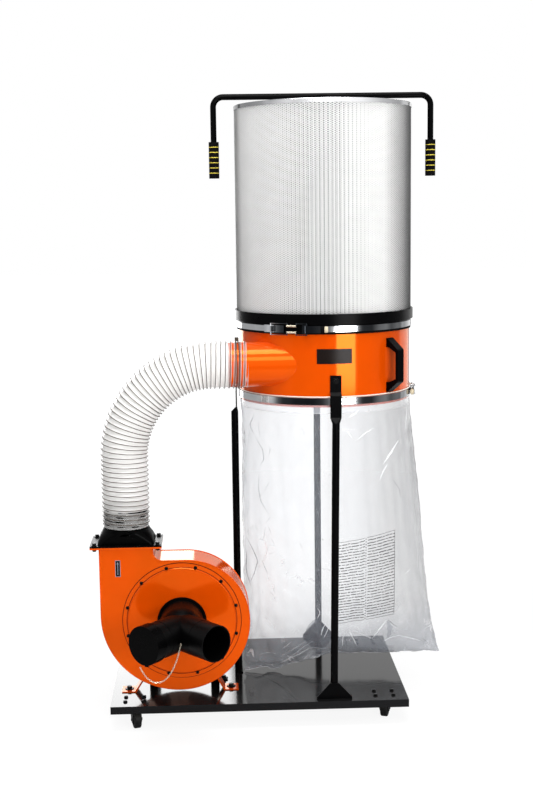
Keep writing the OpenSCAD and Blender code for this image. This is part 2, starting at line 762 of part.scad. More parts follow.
// The motor: a finned body on two feet, with its end shield against the housing
module motor_body() {
    fins = 32;
    color([0.07, 0.07, 0.07]) {
        translate([blower_x, blower_back + motor_l, blower_z]) rotate([90, 0, 0]) {
            cylinder(r = motor_r - 7, h = motor_l);
            translate([0, 0, motor_l - 14]) cylinder(r = motor_r + 6, h = 14);
            for (i = [0:fins - 1]) rotate([0, 0, i * 360 / fins])
                translate([0, -1.5, 6]) cube([motor_r, 3, motor_l - 24]);
        }
        for (side = [-1, 1]) translate([blower_x + side * 55 - 16, blower_back + 50, stand_top])
            cube([32, 90, blower_z - stand_top - 40]);
    }
}

// The fan cowl at the motor's back, with rings of slots
module motor_cowl() {
    color([0.07, 0.07, 0.07]) translate([blower_x, blower_back + motor_l, blower_z]) rotate([-90, 0, 0])
        difference() {
            union() {
                cylinder(r = motor_r + 2, h = 40);
                translate([0, 0, 40]) cylinder(r1 = motor_r + 2, r2 = motor_r - 6, h = 8);
            }
            translate([0, 0, -1]) cylinder(r = motor_r, h = 42);
            for (i = [0:11]) rotate([0, 0, i * 30]) translate([20, -3, 30]) cube([38, 6, 30]);
        }
}

// The switch box on top of the motor, with a saddle under it that follows the motor
module motor_switch_box() {
    color([0.07, 0.07, 0.07]) difference() {
        translate([blower_x - 45, blower_back + 50, blower_z + motor_r - 6]) {
            cube([90, 70, 44]);
            translate([8, 8, 43]) cube([74, 54, 6]);
        }
        translate([blower_x, blower_back + 49, blower_z]) rotate([-90, 0, 0]) cylinder(r = motor_r, h = 72);
    }
}

// The share of the drop at a distance from the drum's axis, with an easy start and end
function bag_fall(x) = let (t = max(0, min(1, (bag_drop_from - x) / (bag_drop_from - bag_drop_to))))
    t * t * (3 - 2 * t);

// One closed cross section of the bag, moved inwards by an inset
function bag_ring(s, inset) = [
    for (i = [0:bag_sides - 1]) let (a = i * 360 / bag_sides, x = s[1] + (s[2] - inset) * cos(a))
        [x, (s[3] - inset) * sin(a) - s[4], s[0] - s[5] * bag_fall(x)]
];

// The clear dust bag: round at its open top, where it goes over the drum, and flat at its bottom seam
module dust_bag() {
    inner = [for (i = [2:len(bag_sections) - 1]) bag_sections[i]];
    color([0.93, 0.93, 0.94, 0.6]) at_drum() difference() {
        loft([for (s = bag_sections) bag_ring(s, 0)]);
        translate([0, 0, 0.01]) loft([for (s = inner) bag_ring(s, bag_t)]);
    }
}

base_deck();
caster_plates();
caster_fork(caster_front_left);  // fork_front_left
caster_fork(caster_front_right);  // fork_front_right
caster_fork(caster_back_left);  // fork_back_left
caster_fork(caster_back_right);  // fork_back_right
caster_wheel(caster_front_left);  // wheel_front_left
caster_wheel(caster_front_right);  // wheel_front_right
caster_wheel(caster_back_left);  // wheel_back_left
caster_wheel(caster_back_right);  // wheel_back_right
at_drum(-90) post(front_lean);  // post_front
at_drum(90) post();  // post_back
at_drum(180) post();  // post_left
drum_ring();
inlet_pipe();
drum_handle();
name_plate();
seal_ring();
band(lower_band_r, lower_band_z, lower_band_h, lower_latch);  // lower_band
latch_lever(lower_band_r, lower_band_z, lower_band_h, lower_latch);  // lower_latch_lever
band(upper_band_r, upper_band_z, upper_band_h, upper_latch);  // upper_band
latch_lever(upper_band_r, upper_band_z, upper_band_h, upper_latch);  // upper_latch_lever
filter_end_ring();
filter_media();
filter_core();
filter_cap();
crank_bar();
crank_hub();
crank_grip(-1);  // grip_left
crank_grip(1);  // grip_right
blower_housing();
blower_cover();
inlet_fork();
inlet_cap();
outlet_adapter();
hose();
hose_wire();
hose_clamp();
blower_feet();
motor_stand();
motor_body();
motor_cowl();
motor_switch_box();
dust_bag();
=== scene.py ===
# Chip extractor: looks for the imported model. Everything is in metres, in the model's own frame.
import bpy
import numpy as np
from math import asinh, cos, cosh, pi, radians, sin, sinh, sqrt
from mathutils import Matrix, Vector, noise
from mathutils.bvhtree import BVHTree


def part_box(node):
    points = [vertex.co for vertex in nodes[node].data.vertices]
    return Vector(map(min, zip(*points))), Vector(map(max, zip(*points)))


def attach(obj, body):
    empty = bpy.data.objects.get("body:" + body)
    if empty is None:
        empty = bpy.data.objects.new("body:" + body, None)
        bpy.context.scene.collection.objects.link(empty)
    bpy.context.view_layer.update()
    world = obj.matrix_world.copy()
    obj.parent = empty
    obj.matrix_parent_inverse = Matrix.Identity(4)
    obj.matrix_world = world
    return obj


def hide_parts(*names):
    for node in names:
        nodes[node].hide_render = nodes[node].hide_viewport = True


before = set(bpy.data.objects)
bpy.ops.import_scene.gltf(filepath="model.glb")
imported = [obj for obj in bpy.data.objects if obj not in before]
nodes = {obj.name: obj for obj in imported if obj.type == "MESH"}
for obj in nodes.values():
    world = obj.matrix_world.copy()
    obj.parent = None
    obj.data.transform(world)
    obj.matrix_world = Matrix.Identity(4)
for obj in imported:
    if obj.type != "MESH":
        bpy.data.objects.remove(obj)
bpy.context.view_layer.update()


def middle(nodeName):
    low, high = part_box(nodeName)
    return (low + high) / 2


# places taken from the model
drumAxis = middle("seal_ring")
drumRadius = (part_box("drum_ring")[1].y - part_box("drum_ring")[0].y) / 2
coverMiddle = middle("blower_cover")
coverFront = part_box("blower_cover")[0].y
deckLow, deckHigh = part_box("base_deck")
outletMiddle = middle("outlet_adapter")
pipeLow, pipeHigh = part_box("inlet_pipe")
print("frame loaded")

tiny = 1e-6    # keeps a division by a length safe


def fill(tree, node, inputs):
    # links a socket to each input, or sets the input's own value
    for key, value in inputs.items():
        if isinstance(value, bpy.types.NodeSocket):
            tree.links.new(value, node.inputs[key])
        else:
            node.inputs[key].default_value = value


def addNode(tree, kind, inputs=None, **settings):
    made = tree.nodes.new(kind)
    for key, value in settings.items():
        setattr(made, key, value)
    fill(tree, made, inputs or {})
    return made


def combined(tree, operation, first, *others):
    # masks or heights worked together in turn, as by MULTIPLY or MAXIMUM
    for other in others:
        first = addNode(tree, "ShaderNodeMath", {0: first, 1: other}, operation=operation).outputs["Value"]
    return first


def ranged(tree, value, low, high, toLow=0.0, toHigh=1.0):
    # a value between low and high turned into one between toLow and toHigh
    inputs = {"Value": value, "From Min": low, "From Max": high, "To Min": toLow, "To Max": toHigh}
    return addNode(tree, "ShaderNodeMapRange", inputs).outputs["Result"]


def scaled(tree, mask, low, high):
    # a 0 to 1 mask turned into a value between low and high
    return ranged(tree, mask, 0.0, 1.0, low, high)


def objectPlace(tree):
    return addNode(tree, "ShaderNodeTexCoord").outputs["Object"]


def surfaceNormal(tree):
    return addNode(tree, "ShaderNodeNewGeometry").outputs["Normal"]


def axes(tree, vector):
    return addNode(tree, "ShaderNodeSeparateXYZ", {0: vector}).outputs


def cloudy(tree, at, scale, detail, **more):
    inputs = {"Vector": at, "Scale": scale, "Detail": detail, **more}
    return addNode(tree, "ShaderNodeTexNoise", inputs).outputs["Fac"]


def bumped(tree, height, strength, distance=0.001):
    inputs = {"Height": height, "Strength": strength, "Distance": distance}
    return addNode(tree, "ShaderNodeBump", inputs).outputs["Normal"]


def mixColour(tree, mask, first, second):
    first, second = (c if isinstance(c, bpy.types.NodeSocket) else (*c, 1) for c in (first, second))
    return addNode(tree, "ShaderNodeMix", {0: mask, 6: first, 7: second}, data_type="RGBA").outputs[2]


def makeGroup(name, inputs, effect):
    # a shared effect: its inputs with their usual values, and the function that makes its masks
    group = bpy.data.node_groups.new(name, "ShaderNodeTree")
    for label, value in inputs.items():
        socket = group.interface.new_socket(label, in_out="INPUT", socket_type="NodeSocketFloat")
        socket.default_value = value
    masks = effect(group, addNode(group, "NodeGroupInput").outputs)
    for label in masks:
        group.interface.new_socket(label, in_out="OUTPUT", socket_type="NodeSocketFloat")
    addNode(group, "NodeGroupOutput", masks)
    return group


def grainEffect(tree, given):
    # a height and a blotchy mask from noise in the part's own space
    at = objectPlace(tree)
    blotch = cloudy(tree, at, given["Blotch Scale"], 4.0, Roughness=0.6)
    return {"Height": cloudy(tree, at, given["Scale"], 3.0), "Blotch": scaled(tree, blotch, -0.35, 1.35)}


def wearEffect(tree, given):
    # a mask along sharp edges, broken up by noise
    bevel = addNode(tree, "ShaderNodeBevel", {"Radius": given["Radius"]}, samples=4).outputs["Normal"]
    dot = addNode(tree, "ShaderNodeVectorMath", {0: surfaceNormal(tree), 1: bevel}, operation="DOT_PRODUCT")
    edge = ranged(tree, dot.outputs["Value"], 0.995, 0.85)
    patch = ranged(tree, cloudy(tree, objectPlace(tree), given["Scale"], 5.0), 0.45, 0.62)
    return {"Mask": combined(tree, "MULTIPLY", edge, patch, given["Amount"])}


def dustEffect(tree, given):
    # a thin uneven film on faces that look up
    up = ranged(tree, axes(tree, surfaceNormal(tree))["Z"], 0.2, 1.0)
    patch = cloudy(tree, objectPlace(tree), given["Scale"], 6.0)
    return {"Mask": combined(tree, "MULTIPLY", up, patch, given["Amount"])}


def creaseEffect(tree, given):
    # thin broken lines where a film is creased
    at = objectPlace(tree)
    flow = cloudy(tree, at, given["Scale"], 3.0, Distortion=1.2)
    away = addNode(tree, "ShaderNodeMath", {0: combined(tree, "SUBTRACT", flow, 0.5)}, operation="ABSOLUTE")
    line = ranged(tree, away.outputs["Value"], 0.0, given["Width"], 1.0, 0.0)
    patch = ranged(tree, cloudy(tree, at, 14.0, 2.0), given["Cover"], 0.7)
    return {"Mask": combined(tree, "MULTIPLY", line, patch)}


grain = makeGroup("grain", {"Scale": 400.0, "Blotch Scale": 9.0}, grainEffect)
edgeWear = makeGroup("edgeWear", {"Radius": 0.002, "Amount": 0.5, "Scale": 60.0}, wearEffect)
settledDust = makeGroup("settledDust", {"Amount": 0.2, "Scale": 30.0}, dustEffect)
creases = makeGroup("creases", {"Scale": 9.0, "Width": 0.012, "Cover": 0.5}, creaseEffect)


def spaced(values):
    # socket names from keywords
    return {key.replace("_", " "): value for key, value in values.items()}


def useGroup(tree, group, **values):
    return addNode(tree, "ShaderNodeGroup", spaced(values), node_tree=group).outputs


finishes = {}    # every material by its name


def newMaterial(name, gloss=0.5, **sockets):
    # a material kept in finishes under its name
    material = finishes[name] = bpy.data.materials.new(name)
    material.use_nodes = True
    tree = material.node_tree
    shader = tree.nodes["Principled BSDF"]
    fill(tree, shader, {"Specular IOR Level": gloss, **spaced(sockets)})
    return tree, shader


# the colour of the dust on paint and on plastic
paintDust, plasticDust = (0.55, 0.5, 0.43), (0.4, 0.38, 0.34)


def paint(name, colour, shade, roughness, peel=600.0, bump=0.03, wear=0.3, bare=(0.35, 0.34, 0.33), dust=0.1,
          upright=None, **sockets):
    # a sprayed or powder-coated finish: colour blotches, orange peel, worn edges and a little dust; upright
    # is the gloss of its upright faces, where that differs from the level ones
    tree, shader = newMaterial(name, **sockets)
    texture = useGroup(tree, grain, Scale=peel, Blotch_Scale=6.0)
    edges = useGroup(tree, edgeWear, Radius=0.0015, Amount=wear, Scale=80.0)
    film = useGroup(tree, settledDust, Amount=dust, Scale=25.0)
    base = mixColour(tree, texture["Blotch"], colour, shade)
    dusty = mixColour(tree, film["Mask"], base, paintDust)
    fill(tree, shader, {"Base Color": mixColour(tree, edges["Mask"], dusty, bare),
                        "Roughness": scaled(tree, texture["Blotch"], roughness * 0.8, roughness * 1.25),
                        "Normal": bumped(tree, texture["Height"], bump)})
    if upright is not None:
        level = shader.inputs["Specular IOR Level"]
        facing = axes(tree, surfaceNormal(tree))["Z"]
        tree.links.new(scaled(tree, facing, upright, level.default_value), level)


# a painted reflection on polished steel round the drum: azimuth in degrees and the share of the bright colour
bandPaintedReflection = [(-180, 0.9), (-144, 1.0), (-133, 0.95), (-129, 0.62), (-126, 0.14), (-122, 0.03), (-102, 0.02),
          (-96, 0.07), (-92, 0.30), (-89, 1.0), (-78, 0.95), (-74, 0.45), (-70, 0.06), (-63, 0.05),
          (-57, 0.36), (-52, 0.45), (-47, 0.18), (-40, 0.38), (-31, 0.15), (-14, 0.55), (10, 0.8),
          (30, 0.1), (52, 0.5), (75, 0.95), (95, 0.06), (120, 0.4), (140, 0.85), (163, 0.15), (180, 0.9)]
# the same for the expanded metal and the paper seen through it, as painted light and shade, and for the
# filter's top rim, as a painted reflection
meshPaintedLight = [(-180, 0.34), (-170, 0.5), (-160, 0.92), (-142, 1.0), (-120, 1.0), (-52, 1.0), (-43, 0.80),
              (-33, 0.55), (-26, 0.25), (-18, 0.08), (0, 0.45), (30, 0.85), (75, 1.0), (110, 0.6),
              (145, 0.34), (180, 0.34)]
paperPaintedLight = [(-180, 0.25), (-165, 0.8), (-150, 0.9), (-138, 0.75), (-110, 0.62), (-90, 0.68), (-80, 1.0),
               (-71, 1.0), (-52, 1.0), (-42, 0.6), (-30, 0.25), (-18, 0.05), (0, 0.3), (30, 0.6), (70, 0.9),
               (110, 0.5), (145, 0.25), (180, 0.25)]
rimPaintedReflection = [(-180, 0.2), (-150, 0.2), (-128, 0.35), (-108, 0.75), (-92, 1.0), (-70, 0.95), (-55, 0.55),
             (-38, 0.3), (-20, 0.1), (10, 0.5), (60, 1.0), (110, 0.4), (180, 0.2)]


def paintedRing(tree, at, ring):
    # a painted brightness that changes round the drum's axis, for the painted reflections and the painted
    # light and shade
    x, y, _ = axes(tree, at)
    x, y = combined(tree, "SUBTRACT", x, drumAxis.x), combined(tree, "SUBTRACT", y, drumAxis.y)
    turn = ranged(tree, combined(tree, "ARCTAN2", y, x), -pi, pi)
    made = addNode(tree, "ShaderNodeValToRGB", {"Fac": turn})
    ramp = made.color_ramp.elements
    for azimuth, bright in ring[1:-1]:
        ramp.new((azimuth + 180) / 360).color = (bright, bright, bright, 1)
    for end in (0, -1):
        bright = ring[end][1]
        ramp[end].color = (bright, bright, bright, 1)
    return made.outputs["Color"]


def steel(name, colour, shade, roughness, stretch=(1, 1, 60), patch=20.0, metal=1.0, ring=None,
          dark=(0.006, 0.009, 0.013), pleatShade=None, **sockets):
    # plated or drawn steel: fine drawn lines and a cloudy tint; ring is its painted brightness round the drum,
    # a painted reflection or painted light and shade, mixed towards the dark colour where it is low; and the
    # pleat radii give painted shade at a pleat's bottom, lighter up to its ridge
    tree, shader = newMaterial(name, Metallic=metal, **sockets)
    at = objectPlace(tree)
    lines = addNode(tree, "ShaderNodeMapping", {"Vector": at, "Scale": stretch}).outputs["Vector"]
    drawn = cloudy(tree, lines, 40.0, 4.0)
    texture = useGroup(tree, grain, Scale=900.0, Blotch_Scale=patch)
    tint = mixColour(tree, texture["Blotch"], colour, shade)
    if ring:
        # painted reflection, or painted light and shade, round the drum
        tint = mixColour(tree, scaled(tree, paintedRing(tree, at, ring), 1.0, 0.0), tint, dark)
    if pleatShade:
        # painted shade down in the pleats, lighter on their ridges
        flat = addNode(tree, "ShaderNodeVectorMath", {0: at, 1: (1, 1, 0)}, operation="MULTIPLY").outputs[0]
        away = addNode(tree, "ShaderNodeVectorMath", {0: flat, 1: (drumAxis.x, drumAxis.y, 0)},
                       operation="DISTANCE")
        tint = mixColour(tree, ranged(tree, away.outputs["Value"], *pleatShade), (0.035, 0.035, 0.037), tint)
    fill(tree, shader, {"Base Color": tint, "Normal": bumped(tree, drawn, 0.06, 0.0005),
                        "Roughness": scaled(tree, drawn, roughness * 0.6, roughness * 1.5)})


def moulded(name, colour, shade, roughness, peel=1200.0, bump=0.05, dust=0.12, **sockets):
    # moulded plastic or rubber: fine pebble grain and faint scuffs
    tree, shader = newMaterial(name, **sockets)
    texture = useGroup(tree, grain, Scale=peel, Blotch_Scale=14.0)
    film = useGroup(tree, settledDust, Amount=dust, Scale=40.0)
    base = mixColour(tree, texture["Blotch"], colour, shade)
    fill(tree, shader, {"Base Color": mixColour(tree, film["Mask"], base, plasticDust),
                        "Roughness": scaled(tree, texture["Blotch"], roughness * 0.8, roughness * 1.3),
                        "Normal": bumped(tree, texture["Height"], bump)})


def turnedAway(tree, blend, faceAlpha, edgeAlpha):
    # thin film is see-through where it faces the eye and denser where it turns away
    turn = addNode(tree, "ShaderNodeLayerWeight", {"Blend": blend}).outputs["Facing"]
    return scaled(tree, turn, faceAlpha, edgeAlpha)


def clearFilm(name, colour, shade, faceAlpha, edgeAlpha, roughness, crumple, tight=None, **sockets):
    # thin film; tight says where it is stretched over a pipe and shows it
    tree, shader = newMaterial(name, Roughness=roughness, **sockets)
    texture = useGroup(tree, grain, Scale=160.0, Blotch_Scale=12.0)
    alpha = turnedAway(tree, 0.35, faceAlpha, edgeAlpha)
    if tight:
        x, _, z = axes(tree, objectPlace(tree))
        below, beyond, blur = tight["below"], tight["beyond"], tight["blur"]
        alpha = combined(tree, "MULTIPLY", alpha, ranged(tree, z, below - blur, below + blur, tight["low"]),
                         ranged(tree, x, beyond + blur, beyond - blur, tight["out"]))
    fill(tree, shader, {"Base Color": mixColour(tree, texture["Blotch"], colour, shade), "Alpha": alpha,
                        "Normal": bumped(tree, texture["Height"], crumple, 0.002)})


# the hose's film is stretched over its pipes below this height and beyond this x: how soon it changes there,
# and what is left of its own density
hoseFit = {"below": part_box("hose")[0].z + 0.046, "beyond": pipeLow.x, "blur": 0.004, "low": 0.42, "out": 0.5}
# where the bag's film changes, as the places and the shares of a mask: at its collar, low down, at its
# bottom, and left and right of the drum's middle; the cover added to its painted shade on the right and at
# the bottom; then its colours: painted shade on the right, at the bottom and in its folds, and white on its
# collar and in painted highlights on its creases
bagLook = {"collar": (0.882, 0.884, 0.0, 0.35), "low": (0.50, 0.16, 0.25, 0.95), "bottom": (0.30, 0.16),
           "left": (-0.02, -0.22, 0.12, 0.7), "right": (0.02, 0.17), "rightShadeCover": 0.13, "bottomShadeCover": 0.14,
           "rightTint": (0.33, 0.34, 0.36), "bottomTint": (0.24, 0.26, 0.30), "foldTint": (0.10, 0.11, 0.12),
           "creaseTint": (0.95, 0.95, 0.97)}


def bagFilm(name, colour, shade, faceAlpha, edgeAlpha, roughness, look):
    # clear film: denser and darker at the bottom and towards the right, which is painted shade, with white
    # painted highlights on its creases above painted shade in its folds
    tree, shader = newMaterial(name, Roughness=roughness)
    texture = useGroup(tree, grain, Scale=160.0, Blotch_Scale=7.0)
    x, _, z = axes(tree, objectPlace(tree))
    (near, far, *shares), right = look["left"], look["right"]
    left = ranged(tree, x, drumAxis.x + near, drumAxis.x + far, *shares)
    right = ranged(tree, x, drumAxis.x + right[0], drumAxis.x + right[1])
    bottom = ranged(tree, z, *look["bottom"])
    # white lines low down, as painted highlights on the creases
    lines = useGroup(tree, creases, Scale=8.0, Width=0.014, Cover=0.46)["Mask"]
    lines = combined(tree, "MULTIPLY", lines, ranged(tree, z, *look["low"]))
    # folds on the left, darkened as painted shade
    foldShade = useGroup(tree, creases, Scale=5.5, Width=0.014, Cover=0.52)["Mask"]
    foldShade = combined(tree, "MULTIPLY", foldShade, left)
    white = combined(tree, "MAXIMUM", lines, ranged(tree, z, *look["collar"]))
    tint = mixColour(tree, texture["Blotch"], colour, shade)
    # painted shade on the right, at the bottom and in the folds, then the collar's white and the painted
    # highlights
    for mask, place in ((right, "right"), (bottom, "bottom"), (foldShade, "fold"), (white, "crease")):
        tint = mixColour(tree, mask, tint, look[place + "Tint"])
    # more cover where the painted shade and the painted highlights are
    dense = combined(tree, "ADD", turnedAway(tree, 0.14, faceAlpha, edgeAlpha),
                     scaled(tree, right, 0.0, look["rightShadeCover"]),
                     scaled(tree, bottom, 0.0, look["bottomShadeCover"]))
    fill(tree, shader, {"Base Color": tint, "Alpha": combined(tree, "MAXIMUM", dense, foldShade, white),
                        "Normal": bumped(tree, texture["Height"], 0.12, 0.002)})


paint("orangePaint", (0.74, 0.067, 0.0004), (0.62, 0.066, 0.0004), 0.10, peel=420.0, bump=0.008, wear=0.1,
      dust=0.02, Metallic=0.15, gloss=0.32, Specular_Tint=(1.0, 0.78, 0.17, 1))
paint("deckPaint", (0.003, 0.0031, 0.0036), (0.0045, 0.0047, 0.0054), 0.1, peel=300.0, bump=0.006,
      bare=(0.08, 0.08, 0.08), dust=0.01, upright=0.12, gloss=0.42)
paint("blackPaint", (0.0007, 0.0007, 0.0009), (0.0013, 0.0013, 0.0015), 0.26, peel=700.0, wear=0.2,
      bare=(0.03, 0.03, 0.03), dust=0.004, gloss=0.03)
paint("motorPaint", (0.006, 0.006, 0.0065), (0.01, 0.01, 0.011), 0.42, peel=500.0, bump=0.12,
      bare=(0.08, 0.08, 0.08), gloss=0.15)
paint("crankPaint", (0.0006, 0.0006, 0.0007), (0.0011, 0.0011, 0.0012), 0.2, peel=700.0, bump=0.02, wear=0.2,
      bare=(0.03, 0.03, 0.03), dust=0.005, gloss=0.03)
moulded("blackPlastic", (0.0006, 0.0006, 0.0007), (0.0012, 0.0012, 0.0013), 0.24, bump=0.02, dust=0.003,
        gloss=0.025)
moulded("forkPlastic", (0.0005, 0.0005, 0.0006), (0.001, 0.001, 0.0011), 0.34, bump=0.01, dust=0.003,
        gloss=0.05)
moulded("tyreRubber", (0.004, 0.004, 0.0042), (0.008, 0.008, 0.008), 0.5, bump=0.12, gloss=0.1)
moulded("sealFoam", (0.002, 0.002, 0.002), (0.004, 0.004, 0.004), 0.85, peel=900.0, bump=0.5, dust=0.0,
        gloss=0.04)
moulded("gripFoam", (0.002, 0.002, 0.002), (0.004, 0.004, 0.004), 0.8, peel=1500.0, bump=0.6, dust=0.02,
        gloss=0.04)
moulded("gripYellow", (0.66, 0.53, 0.04), (0.52, 0.42, 0.05), 0.6, peel=1500.0, bump=0.4)
moulded("gripBeige", (0.6, 0.52, 0.36), (0.5, 0.43, 0.3), 0.5, bump=0.1)
moulded("plateBlack", (0.006, 0.0035, 0.003), (0.01, 0.006, 0.005), 0.22, bump=0.02, dust=0.0, gloss=0.1)
moulded("labelGrey", (0.25, 0.3, 0.38), (0.2, 0.25, 0.32), 0.4, bump=0.02)
moulded("bagPrint", (0.05, 0.05, 0.055), (0.1, 0.1, 0.1), 0.6, bump=0.02, dust=0.0)
steel("boltBlack", (0.0015, 0.0015, 0.0016), (0.004, 0.004, 0.004), 0.35, metal=0.4, gloss=0.1)
# the bands, the latch levers and the filter's rim take a painted reflection round the drum
steel("bandSteel", (0.95, 0.96, 0.97), (0.7, 0.72, 0.76), 0.1, stretch=(1, 1, 90), patch=16.0, ring=bandPaintedReflection)
steel("capSteel", (0.95, 0.95, 0.97), (0.85, 0.85, 0.88), 0.18, stretch=(1, 1, 90), patch=5.0, ring=rimPaintedReflection,
      dark=(0.03, 0.035, 0.035))
steel("zincSteel", (0.62, 0.62, 0.6), (0.5, 0.5, 0.5), 0.3)
steel("darkSteel", (0.01, 0.01, 0.01), (0.03, 0.03, 0.03), 0.35, metal=0.6, gloss=0.2)
steel("chainSteel", (0.78, 0.7, 0.56), (0.5, 0.45, 0.36), 0.2)
# the expanded metal takes painted light and shade round the drum
steel("meshSteel", (0.98, 0.98, 0.98), (0.93, 0.93, 0.93), 0.42, metal=0.1, ring=meshPaintedLight,
      dark=(0.05, 0.05, 0.052))
steel("wireSteel", (0.080, 0.060, 0.044), (0.045, 0.036, 0.028), 0.4, metal=0.3, gloss=0.3)
# the paper takes painted light and shade round the drum and painted shade in its pleats
steel("filterPaper", (0.99, 0.99, 0.98), (0.93, 0.93, 0.92), 0.8, stretch=(1, 1, 4), metal=0.0,
      ring=paperPaintedLight, dark=(0.03, 0.03, 0.032), pleatShade=(0.222, 0.238), gloss=0.1)
clearFilm("hemFilm", (0.95, 0.86, 0.74), (0.9, 0.8, 0.68), 0.8, 0.95, 0.25, 0.05)
# ribbons on the bag's creases: painted highlight, painted shade, and a doubled film darkened with painted
# shade
clearFilm("creaseBright", (0.95, 0.96, 0.98), (0.85, 0.87, 0.9), 0.7, 0.9, 0.15, 0.1)
clearFilm("creaseDark", (0.06, 0.065, 0.075), (0.12, 0.13, 0.15), 0.5, 0.7, 0.2, 0.1)
clearFilm("creaseDoubled", (0.22, 0.24, 0.28), (0.34, 0.36, 0.4), 0.42, 0.7, 0.15, 0.3)
clearFilm("filmEdge", (0.8, 0.8, 0.82), (0.7, 0.7, 0.72), 0.45, 0.8, 0.3, 0.05)
clearFilm("hoseFilm", (0.97, 0.96, 0.94), (0.93, 0.92, 0.9), 0.6, 0.85, 0.22, 0.1,
          tight=hoseFit, Coat_Weight=0.6, Coat_Roughness=0.08)
bagFilm("bagFilm", (0.62, 0.67, 0.76), (0.72, 0.76, 0.83), 0.12, 0.85, 0.1, bagLook)

# which finish each model node takes
corners = ("front_left", "front_right", "back_left", "back_right")
nodeFinish = {
    "deckPaint": ["base_deck"],
    "zincSteel": ["caster_plates", "filter_core"],
    "darkSteel": ["fork_" + corner for corner in corners],
    "tyreRubber": ["wheel_" + corner for corner in corners],
    "blackPaint": ["post_front", "post_back", "post_left", "drum_handle", "filter_end_ring", "motor_stand"],
    "crankPaint": ["crank_bar", "crank_hub"],
    "motorPaint": ["motor_body", "motor_cowl"],
    "orangePaint": ["drum_ring", "inlet_pipe", "blower_housing", "blower_cover", "blower_feet"],
    "plateBlack": ["name_plate"],
    "sealFoam": ["seal_ring"],
    "bandSteel": ["lower_band", "upper_band", "lower_latch_lever", "upper_latch_lever"],
    "capSteel": ["filter_cap"],
    "wireSteel": ["hose_clamp", "hose_wire"],
    "filterPaper": ["filter_media"],
    "gripFoam": ["grip_left", "grip_right"],
    "blackPlastic": ["inlet_cap", "outlet_adapter", "motor_switch_box"],
    "forkPlastic": ["inlet_fork"],
    "hoseFilm": ["hose"],
    "bagFilm": ["dust_bag"]}
for finishName, members in nodeFinish.items():
    for nodeName in members:
        slots = nodes[nodeName].data.materials
        slots.clear()
        slots.append(finishes[finishName])
print("finishes made")


def newObject(name, data):
    made = bpy.data.objects.new(name, data)
    bpy.context.scene.collection.objects.link(made)
    return made


def newMesh(name, verts, faces, finish):
    mesh = bpy.data.meshes.new(name)
    mesh.from_pydata(verts, [], faces)
    mesh.update()
    mesh.materials.append(finishes[finish])
    return newObject(name, mesh)


def addPiece(name, shapes, finish, body="base", smooth=40.0):
    # joins shapes into one mesh that rides on a body
    verts, faces = [], []
    for shapeVerts, shapeFaces in shapes:
        first = len(verts)
        verts.extend(shapeVerts)
        faces.extend(tuple(first + i for i in face) for face in shapeFaces)
    piece = newMesh(name, verts, faces, finish)
    if smooth:
        piece.data.shade_smooth()
        piece.data.set_sharp_from_angle(angle=radians(smooth))
    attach(piece, body)
    return piece


def placed(at, towards=(0, 0, 1), spin=0.0):
    # a matrix that stands +Z along a direction at a point
    turn = Vector(towards).to_track_quat("Z", "Y").to_matrix().to_4x4()
    return Matrix.Translation(at) @ turn @ Matrix.Rotation(radians(spin), 4, "Z")


def moved(shape, matrix):
    # a shape in a new place; where the matrix mirrors it, its faces are turned back
    verts, faces = shape
    if matrix.determinant() < 0:
        faces = [tuple(reversed(face)) for face in faces]
    return [tuple(matrix @ Vector(v)) for v in verts], faces


def circle(count):
    return [(cos(a), sin(a)) for a in (2 * pi * i / count for i in range(count))]


def tubeFaces(rows, around, closed=False):
    # the faces between rings of points
    faces = []
    for row in range(rows if closed else rows - 1):
        near, far = row * around, (row + 1) % rows * around
        for k in range(around):
            m = (k + 1) % around
            faces.append((near + k, near + m, far + m, far + k))
    return faces


def lathe(profile, turns=32):
    # revolves (radius, height) points about Z; a radius of 0 closes the end with triangles
    verts, faces, rows = [], [], []
    for radius, height in profile:
        around = circle(turns) if radius > 0 else [(0, 0)]
        rows.append(range(len(verts), len(verts) + len(around)))
        verts.extend((radius * c, radius * s, height) for c, s in around)
    for lower, upper in zip(rows, rows[1:]):
        for i in range(turns):
            j = (i + 1) % turns
            ends = [ring[k % len(ring)] for ring, k in ((lower, i), (lower, j), (upper, j), (upper, i))]
            faces.append(tuple(dict.fromkeys(ends)))
    return verts, faces


def sweep(points, radius, sides=6, closed=False):
    # a round rod along a line of points, with frames carried along it
    line = [Vector(p) for p in points]
    count = len(line)
    verts, side = [], None
    for i, at in enumerate(line):
        before = line[i - 1] if i or closed else at
        after = line[(i + 1) % count] if i < count - 1 or closed else at
        tangent = (after - before).normalized()
        if side is None:
            side = tangent.orthogonal().normalized()
        side = (side - tangent * side.dot(tangent)).normalized()
        other = tangent.cross(side)
        verts.extend(tuple(at + radius * (c * side + s * other)) for c, s in circle(sides))
    faces = tubeFaces(count, sides, closed)
    if not closed:
        faces += [tuple(reversed(range(sides))), tuple(range((count - 1) * sides, count * sides))]
    return verts, faces


def bluntDisc(radius, height, flat, side, turns):
    # a low disc with a chamfered top: flat and side are shares of its radius and its height
    return lathe([(0, height), (radius * flat, height), (radius, height * side), (radius, 0)], turns)


def boltAt(at, towards, size, height, spin=0.0, flat=0.95, thick=0.0012, lap=0.001):
    # a hex bolt, size across its flats, on its washer, whose radius is a share of that size
    head = bluntDisc(size / sqrt(3), height, 0.82, 0.8, 6)
    washer = bluntDisc(size * flat, thick, 0.94, 0.6, 20)
    return [moved(washer, placed(at, towards)),
            moved(head, placed(Vector(at) + Vector(towards) * lap, towards, spin))]


# expanded metal round the filter
filterMesh = {"columns": 132, "rows": 196, "radius": 0.2508, "strand": 0.0022, "tilt": 0.0008, "lip": 0.004}


